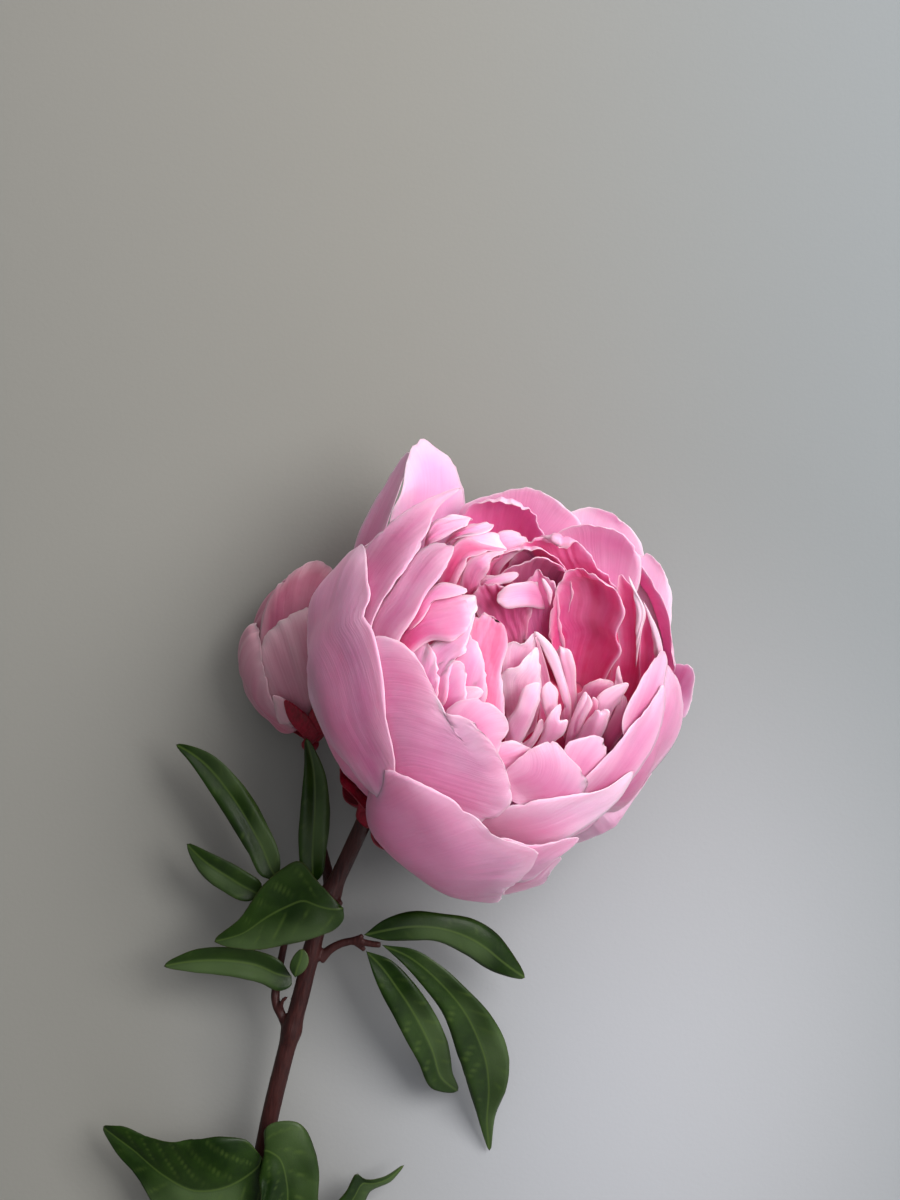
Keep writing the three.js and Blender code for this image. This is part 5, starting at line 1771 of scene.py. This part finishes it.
@dataclass(frozen=True)
class Lamp:
    """A soft square light, with its places in mm."""

    name: str
    at: tuple[float, float, float]
    to: tuple[float, float, float]
    size: float  # m
    watts: float
    colour: tuple[float, float, float]

    def hang(self) -> None:
        """Put the light in the scene."""
        data = bpy.data.lights.new(self.name, "AREA")
        data.size = self.size
        data.energy = self.watts
        data.color = self.colour
        lamp = stood(self.name, data)
        lamp.location = Vector(self.at) * MM
        away = Vector(self.at) - Vector(self.to)
        lamp.rotation_euler = away.to_track_quat("Z", "Y").to_euler()


BLOOM_SPOT = (32.0, 76.0, 50.0)  # mm, the middle of the bloom
LAMPS = (
    Lamp("window", (500, 290, 730), BLOOM_SPOT, 0.55, 10.2, (1.0, 0.985, 0.97)),
    Lamp("front_fill", (330, 130, 1100), BLOOM_SPOT, 1.0, 3.6, (0.98, 0.98, 1.0)),
    Lamp("back_fill", (150, 640, 230), (50.0, 120.0, 40.0), 0.6, 2.6, (1.0, 0.96, 0.97)),
    Lamp("side_fill", (560, -620, 420), (160.0, -60.0, 0.0), 0.9, 1.6, (0.97, 0.98, 1.0)),
)


@dataclass(frozen=True)
class Studio:
    """Floor, soft lights and the camera, all outside the part."""

    lamps: Sequence[Lamp] = LAMPS
    room: Colour = (0.84, 0.86, 0.9, 1.0)
    room_strength: float = 0.28
    camera_at: tuple[float, float, float] = (17.3, 103.4, 744.92)  # mm, looking straight down
    lens: float = 70.0  # mm
    sensor: float = 36.0  # mm
    floor_size: float = 12.0  # m
    # The floor colours hold painted light: warm on the left turning cool to the right, and a paler
    # painted pool of light
    floor_warm: Colour = rgb(121, 120, 114)
    floor_cool: Colour = rgb(116, 121, 123)
    floor_light_pool: Colour = rgb(158, 160, 165)
    floor_cloud: Colour = rgb(140, 140, 136)
    turn_cool: tuple[float, float] = (-0.02, 0.18)  # m to the right, where warm turns to cool
    light_pool_at: tuple[float, float, float] = (0.07, -0.06, 0.0)  # m, the palest place of the floor
    light_pool_reach: float = 0.22  # m
    light_pool_squeeze: tuple[float, float, float] = (1.3, 1.0, 0.0)

    def build(self) -> None:
        """Put up the whole studio."""
        self.floor()
        for lamp in self.lamps:
            lamp.hang()
        self.light_room()
        self.camera()

    def floor(self) -> None:
        """Lay the pale floor, with painted light on it: warm to cool across it and a pale pool."""
        half = self.floor_size / 2
        corners = [(-half, -half, 0), (half, -half, 0), (half, half, 0), (-half, half, 0)]
        mesh = bpy.data.meshes.new("floor")
        mesh.from_pydata(corners, [], [(0, 1, 2, 3)])
        material, g = new_material("floor paint")
        here = g.here()
        right = g.add("ShaderNodeSeparateXYZ", {0: here}).outputs[0]
        # Painted light: warm on the left turns cool to the right, and a painted pool of light pales
        # the floor round one place
        colour = g.blend(g.between(right, *self.turn_cool), self.floor_warm, self.floor_cool)
        away = g.vector("SUBTRACT", here, 1, self.light_pool_at).outputs[0]
        away = g.vector("MULTIPLY", away, 1, self.light_pool_squeeze).outputs[0]
        far = g.vector("LENGTH", away).outputs["Value"]
        light_pool_share = g.between(far, 0.0, self.light_pool_reach, (1.0, 0.0))
        colour = g.blend(light_pool_share, colour, self.floor_light_pool)
        cloud = g.noise(here, 9.0, 4.0, 0.6)
        colour = g.blend(g.math("MULTIPLY", cloud, 0.1), colour, self.floor_cloud)
        grain = g.relief(0.1, 0.0005, g.noise(here, 700.0, 3.0))
        g.finish({"Base Color": colour, "Roughness": 0.8, "Normal": grain})
        mesh.materials.append(material)
        stood("floor", mesh)

    def light_room(self) -> None:
        """Light the room dimly, and show colours as they are."""
        scene = bpy.context.scene
        world = bpy.data.worlds.new("room")
        world.use_nodes = True
        g = Graph(world.node_tree)
        back = g.add("ShaderNodeBackground", {0: self.room, 1: self.room_strength})
        g.add("ShaderNodeOutputWorld", {0: back.outputs[0]})
        scene.world = world
        scene.view_settings.view_transform = "Standard"
        scene.view_settings.look = "None"
        scene.view_settings.exposure = 0.0

    def camera(self) -> None:
        """Set the camera over the part, looking straight down."""
        data = bpy.data.cameras.new("camera")
        data.lens = self.lens
        data.sensor_width = self.sensor
        data.clip_start = 0.05
        camera = stood("camera", data)
        camera.location = Vector(self.camera_at) * MM
        bpy.context.scene.camera = camera


def hand_over(piece: bpy.types.Object, slot: str, *nodes: str) -> None:
    """Hang a piece on the part's body, hide the nodes that it stands for, and log it.

    Args:
        piece: The finished piece.
        slot: Its material slot; not used.
        *nodes: The nodes of the frame that it replaces.
    """
    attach(piece, BODY)
    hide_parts(*nodes)
    log.info("%s: %d faces, in place of %s", piece.name, len(piece.data.polygons), ", ".join(nodes))


@dataclass
class Bloom:
    """The open double flower: outer petals on nested shells, inner ones round a hollow heart."""

    outer: Sequence[Blade] = OUTER_PETALS
    inner: Sequence[Blade] = INNER_PETALS
    heart: Sequence[Blade] = HEART_PETALS
    outer_growth: Growth = Growth(step=1.5, thick=0.34)
    inner_growth: Growth = Growth(step=1.1, thick=0.34, rim=CROWDED)
    heart_growth: Growth = Growth(step=0.85, thick=0.32, rim=CROWDED)
    receptacle: tuple[float, float] = (52.0, 39.0)  # mm from the middle towards the root
    receptacle_radius: float = 4.5  # mm, at its ends
    receptacle_swell: float = 2.5  # mm more in its middle
    column: Sequence[Mark] = ((450, 745, -13), (490, 710, -14))  # from the receptacle to the core
    column_foot: float = 35.8  # mm from the middle towards the root
    column_radii: tuple[float, float, float] = (4.0, 7.0, 9.0)
    core_at: Mark = (535, 675, -15.5)
    core_size: tuple[float, float, float] = (30.0, 32.0, 21.0)
    seed: int = 11

    def outer_skin(self) -> Skin:
        """Grow the outer petals on their receptacle.

        Returns:
            The piece.
        """
        rng = np.random.default_rng(self.seed)
        skin = Skin()
        self.outer_growth.grow(skin, self.outer, BLOOM, rng)
        line = np.stack([BLOOM.world(ROOT_WAY * k) for k in np.linspace(*self.receptacle, 7)])
        swelling = self.receptacle_swell * np.sin(np.linspace(0, math.pi, 7))
        skin.add_rod(line, self.receptacle_radius + swelling, 24, marked(30.0, 0.0, 0.5))
        return skin

    def inner_skin(self) -> Skin:
        """Grow the inner petals and the heart round the core.

        Returns:
            The piece.
        """
        rng = np.random.default_rng(self.seed + 1)
        skin = Skin()
        self.inner_growth.grow(skin, self.inner, BLOOM, rng)
        self.heart_growth.grow(skin, self.heart, BLOOM, rng)
        self.add_core(skin, rng)
        path = (ROOT_WAY * self.column_foot, *(BLOOM.inside(*q) for q in self.column))
        line = np.stack([BLOOM.world(q) for q in path])
        skin.add_rod(line, np.array(self.column_radii), 20, marked(30.0, 0.0, 0.9))
        return skin

    def add_core(self, skin: Skin, rng: np.random.Generator) -> None:
        """Add the rounded core that the inner petals grow from.

        Args:
            skin: The piece that it joins.
            rng: Source of its unevenness.
        """
        rings, sides = 24, 36
        polar = np.linspace(0.03, math.pi - 0.03, rings)[:, None]
        turn = np.linspace(0, 2 * math.pi, sides, endpoint=False)
        across, up = np.sin(polar), np.cos(polar) * np.ones(sides)
        ball = np.stack([across * np.cos(turn), across * np.sin(turn), up], axis=-1)
        ball = ball * np.array(self.core_size)
        uneven = 1 + 0.03 * swell(ball, rng, 9.0)
        flat = (BLOOM.world(BLOOM.inside(*self.core_at)) + ball * uneven[..., None]).reshape(-1, 3)
        marks = {name: np.full(len(flat), v) for name, v in marked(30.0, 0.0, 1.0, 1.0).items()}
        skin.join_rings(skin.add_points(flat, flat[:, :2], marks), rings, sides, turned=True)

    def build(self, shared: Shared) -> None:
        """Build and dress both pieces of the flower.

        Args:
            shared: The node groups of the finishes.
        """
        outer = self.outer_skin().build("outer_petals_dressed", OUTER_FINISH.material(shared))
        hand_over(outer, "outer_petals", "outer_petals")
        inner = self.inner_skin().build("inner_petals_dressed", INNER_FINISH.material(shared))
        hand_over(inner, "inner_petals", "inner_petals")


@dataclass
class SideBud:
    """The half open side bud, its petals wrapped round each other."""

    petals: Sequence[Blade] = BUD_PETALS
    growth: Growth = Growth(step=1.1, thick=0.4, rim=FOLDED_BUD, rest=FLAT + 0.25)
    foot: tuple[float, float] = (1.08, 0.8)  # ends of its foot, in distances to its root
    foot_radii: Sequence[float] = (0.8, 2.2, 2.9, 3.0, 2.4, 1.0)
    seed: int = 21

    def build(self, shared: Shared) -> None:
        """Build and dress the bud's petals.

        Args:
            shared: The node groups of the finish.
        """
        skin = Skin()
        self.growth.grow(skin, self.petals, BUD, np.random.default_rng(self.seed))
        root = BUD.inside(*BUD_ROOT)
        line = np.stack([BUD.world(root * k) for k in np.linspace(*self.foot, 6)])
        skin.add_rod(line, np.array(self.foot_radii), 16, marked(9.0, 0.1, 0.8))
        piece = skin.build("side_bud_petals_dressed", BUD_FINISH.material(shared))
        hand_over(piece, "bud_petals", "side_bud_petals")


@dataclass
class Calyx:
    """The round red sepals under the flower and under the side bud."""

    bloom: Sequence[Blade] = BLOOM_SEPALS
    bud: Sequence[Blade] = BUD_SEPALS
    growth: Growth = Growth(step=0.7, thick=1.0, rim=FIRM_SEPAL)
    bloom_pad: tuple[float, float] = (53.0, 59.3)  # mm from the middle towards the root
    bloom_radii: Sequence[float] = (3.4, 4.0, 4.4, 4.5, 4.2, 3.6, 2.9)
    bud_pad: tuple[Mark, Mark] = ((311, 753, -3.4), (309.5, 736, -3))
    bud_share: tuple[float, float] = (0.1, 0.95)  # of that way, where the bud's pad lies
    bud_radii: Sequence[float] = (1.5, 2.2, 2.7, 2.8, 2.6, 2.0, 1.2)
    seed: int = 31

    def build(self, shared: Shared) -> None:
        """Build and dress the sepals of both heads.

        Args:
            shared: The node groups of the finish.
        """
        material = SEPAL_FINISH.material(shared)
        rng = np.random.default_rng(self.seed)
        marks = marked(9.0, 0.3, 0.5)
        skin = Skin()
        self.growth.grow(skin, self.bloom, BLOOM, rng)
        line = np.stack([BLOOM.world(ROOT_WAY * k) for k in np.linspace(*self.bloom_pad, 7)])
        skin.add_rod(line, np.array(self.bloom_radii), 20, marks)
        hand_over(skin.build("sepals_dressed", material), "sepals", "sepals")
        skin = Skin()
        self.growth.grow(skin, self.bud, BUD, rng)
        foot, top = (BUD.inside(*q) for q in self.bud_pad)
        shares = np.linspace(*self.bud_share, 7)
        line = np.stack([BUD.world(foot + (top - foot) * k) for k in shares])
        skin.add_rod(line, np.array(self.bud_radii), 16, marks)
        hand_over(skin.build("side_bud_sepals_dressed", material), "sepals", "side_bud_sepals")


@dataclass
class Foliage:
    """The leaflets of the three leaves and the bract, each a node of its own."""

    leaflets: dict[str, Blade] = field(default_factory=lambda: dict(LEAFLETS))
    growth: Growth = Growth(
        step=1.3, thick=0.45, rim=WAVED_LEAF, side=Side.UP, veined=True, rest=FLAT + 0.4
    )
    seed: int = 41

    def build(self, shared: Shared) -> None:
        """Build and dress every leaflet.

        Args:
            shared: The node groups of the finish.
        """
        material = LEAF_FINISH.material(shared)
        rng = np.random.default_rng(self.seed)
        for name, blade in self.leaflets.items():
            skin = Skin()
            self.growth.add(skin, blade, GROUND, rng)
            hand_over(skin.build(name + "_dressed", material), "leaves", name)


@dataclass
class Stalks:
    """The stem with its leaf stalks and the side bud's stalk, grown as one."""

    joints: Sequence[tuple[float, ...]] = (  # outline position, height and how much thicker
        (331, 895, 32.2, 1.0), (322, 955, 27.6, 0.8), (289, 1030, 22, 0.7),
    )
    joint_reach: float = 3.2  # mm
    stem_top: float = 58.0  # mm from the middle of the bloom towards the root
    bud_end: Mark = (311, 753.4, -3.4)
    bud_radii: Sequence[float] = (2.0, 1.6, 1.5, 1.5)
    step: float = 1.2  # mm from one point of a line to the next
    sides: int = 20
    ridge_height: float = 0.00012  # m
    ridge_scale: float = 900.0
    voxel: float = 0.45  # mm, fineness of the skin in which the stalks melt together
    softening: int = 4  # rounds of smoothing after that
    seed: int = 5

    def run(self, points: Sequence[Array], radii: Sequence[float]) -> tuple[Array, Array]:
        """Run a stalk through points.

        Args:
            points: The points, in mm.
            radii: Radii that are spread evenly along it.

        Returns:
            The stalk's points, at even steps, and the radius at each.
        """
        line = np.concatenate([*smooth_line(points), [points[-1]]])
        n = max(4, int(length_of(line) / self.step))
        radius = np.interp(np.linspace(0, 1, n + 1), np.linspace(0, 1, len(radii)), radii)
        return evenly(line, n), radius

    def lines(self) -> list[tuple[Array, Array]]:
        """List all the stalks.

        Returns:
            Each stalk's points and radii, in mm.
        """
        top = BLOOM.world(ROOT_WAY * self.stem_top)
        line, radius = self.run([top, *(seen(*q) for q in STEM_MARKS)], STEM_RADII)
        for x, y, h, more in self.joints:
            far = np.linalg.norm(line - seen(x, y, h), axis=1)
            radius += more * bump(far / self.joint_reach)
        found = [(line, radius)]
        for marks, radii in STALK_MARKS:
            found.append(self.run([seen(*q) for q in marks], radii))
        for name, (radii, marks, free) in LEAF_STALKS.items():
            points = [seen(*q) for q in marks]
            root = seen(*LEAF_ROOTS[name])
            found.append(self.run([*points, root + unit(points[-1] - root) * free], radii))
        bud_end = BUD.world(BUD.inside(*self.bud_end))
        found.append(self.run([*(seen(*q) for q in BUD_STALK), bud_end], self.bud_radii))
        return found

    def tree(self, material: bpy.types.Material) -> bpy.types.GeometryNodeTree:
        """Build the node tree that gives lines their round, faintly ridged skin.

        Args:
            material: The finish of the skin.

        Returns:
            The tree, with the sizes of the skin as inputs.
        """
        tree = bpy.data.node_groups.new("stalk skin", "GeometryNodeTree")
        tree.is_modifier = True
        tree.interface.new_socket("Lines", in_out="INPUT", socket_type="NodeSocketGeometry")
        sizes = {
            "Sides": ("NodeSocketInt", self.sides),
            "Ridge Height": ("NodeSocketFloat", self.ridge_height),
            "Ridge Scale": ("NodeSocketFloat", self.ridge_scale),
            "Seed": ("NodeSocketInt", self.seed),
        }
        for label, (kind, value) in sizes.items():
            socket = tree.interface.new_socket(label, in_out="INPUT", socket_type=kind)
            socket.default_value = value
        tree.interface.new_socket("Skin", in_out="OUTPUT", socket_type="NodeSocketGeometry")
        g = Graph(tree)
        start = g.add("NodeGroupInput").outputs
        curve = g.add("GeometryNodeMeshToCurve", {0: start["Lines"]}).outputs[0]
        radius = g.add("GeometryNodeInputNamedAttribute", {"Name": "radius_mm"}, data_type="FLOAT")
        metres = g.math("MULTIPLY", radius.outputs[0], MM)
        sized = g.add("GeometryNodeSetCurveRadius", {"Curve": curve, "Radius": metres}).outputs[0]
        circle = {"Resolution": start["Sides"], "Radius": 1.0}
        ring = g.add("GeometryNodeCurvePrimitiveCircle", circle).outputs[0]
        swept = {"Curve": sized, "Profile Curve": ring, "Fill Caps": True}
        tube = g.add("GeometryNodeCurveToMesh", swept)
        if "Scale" in tube.inputs:
            g.tree.links.new(metres, tube.inputs["Scale"])
        place = g.add("GeometryNodeInputPosition").outputs[0]
        stretched = g.vector("MULTIPLY", place, 1, (1.0, 0.12, 1.0)).outputs[0]
        ridges = {
            "Vector": stretched, "W": start["Seed"], "Scale": start["Ridge Scale"], "Detail": 1.0,
        }
        noise = g.add("ShaderNodeTexNoise", ridges, noise_dimensions="4D").outputs["Fac"]
        height = g.math("MULTIPLY", g.math("SUBTRACT", noise, 0.5), start["Ridge Height"])
        normal = g.add("GeometryNodeInputNormal").outputs[0]
        push = g.vector("SCALE", normal, "Scale", height).outputs[0]
        moved = g.add("GeometryNodeSetPosition", {"Geometry": tube.outputs[0], "Offset": push})
        whole = g.add("GeometryNodeRealizeInstances", {0: moved.outputs[0]}).outputs[0]
        dressed = g.add("GeometryNodeSetMaterial", {"Geometry": whole, "Material": material})
        g.add("NodeGroupOutput", {0: dressed.outputs[0]})
        return tree

    def build(self, shared: Shared) -> None:
        """Build and dress the stalks.

        Args:
            shared: The node groups of the finish.
        """
        material = STALK_FINISH.material(shared)
        points, edges, radii = [], [], []
        for line, radius in self.lines():
            edges += [(len(points) + k, len(points) + k + 1) for k in range(len(line) - 1)]
            points += placed(line).tolist()
            radii += list(radius)
        mesh = bpy.data.meshes.new("stalk_lines")
        mesh.from_pydata(points, edges, [])
        mesh.attributes.new("radius_mm", "FLOAT", "POINT").data.foreach_set("value", radii)
        lines = stood("stalk_lines", mesh)
        grow = lines.modifiers.new("skin", "NODES")
        grow.node_group = self.tree(material)
        melt = lines.modifiers.new("melt", "REMESH")
        melt.mode = "VOXEL"
        melt.voxel_size = self.voxel * MM
        melt.use_smooth_shade = True
        soften = lines.modifiers.new("soften", "SMOOTH")
        soften.factor = 0.5
        soften.iterations = self.softening
        graph = bpy.context.evaluated_depsgraph_get()
        made = bpy.data.meshes.new_from_object(lines.evaluated_get(graph))
        lines.modifiers.clear()
        bpy.data.objects.remove(lines)
        made.name = "stem_dressed"
        made.materials.clear()
        made.materials.append(material)
        hand_over(stood("stem_dressed", made), "stem", "stem")


def main() -> None:
    """Dress the frame, piece by piece, and put up the studio."""
    logging.basicConfig(level=logging.INFO, format="%(message)s")
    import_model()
    shared = Shared()
    Studio().build()
    Bloom().build(shared)
    SideBud().build(shared)
    Calyx().build(shared)
    Foliage().build(shared)
    Stalks().build(shared)


if __name__ == "__main__":
    main()
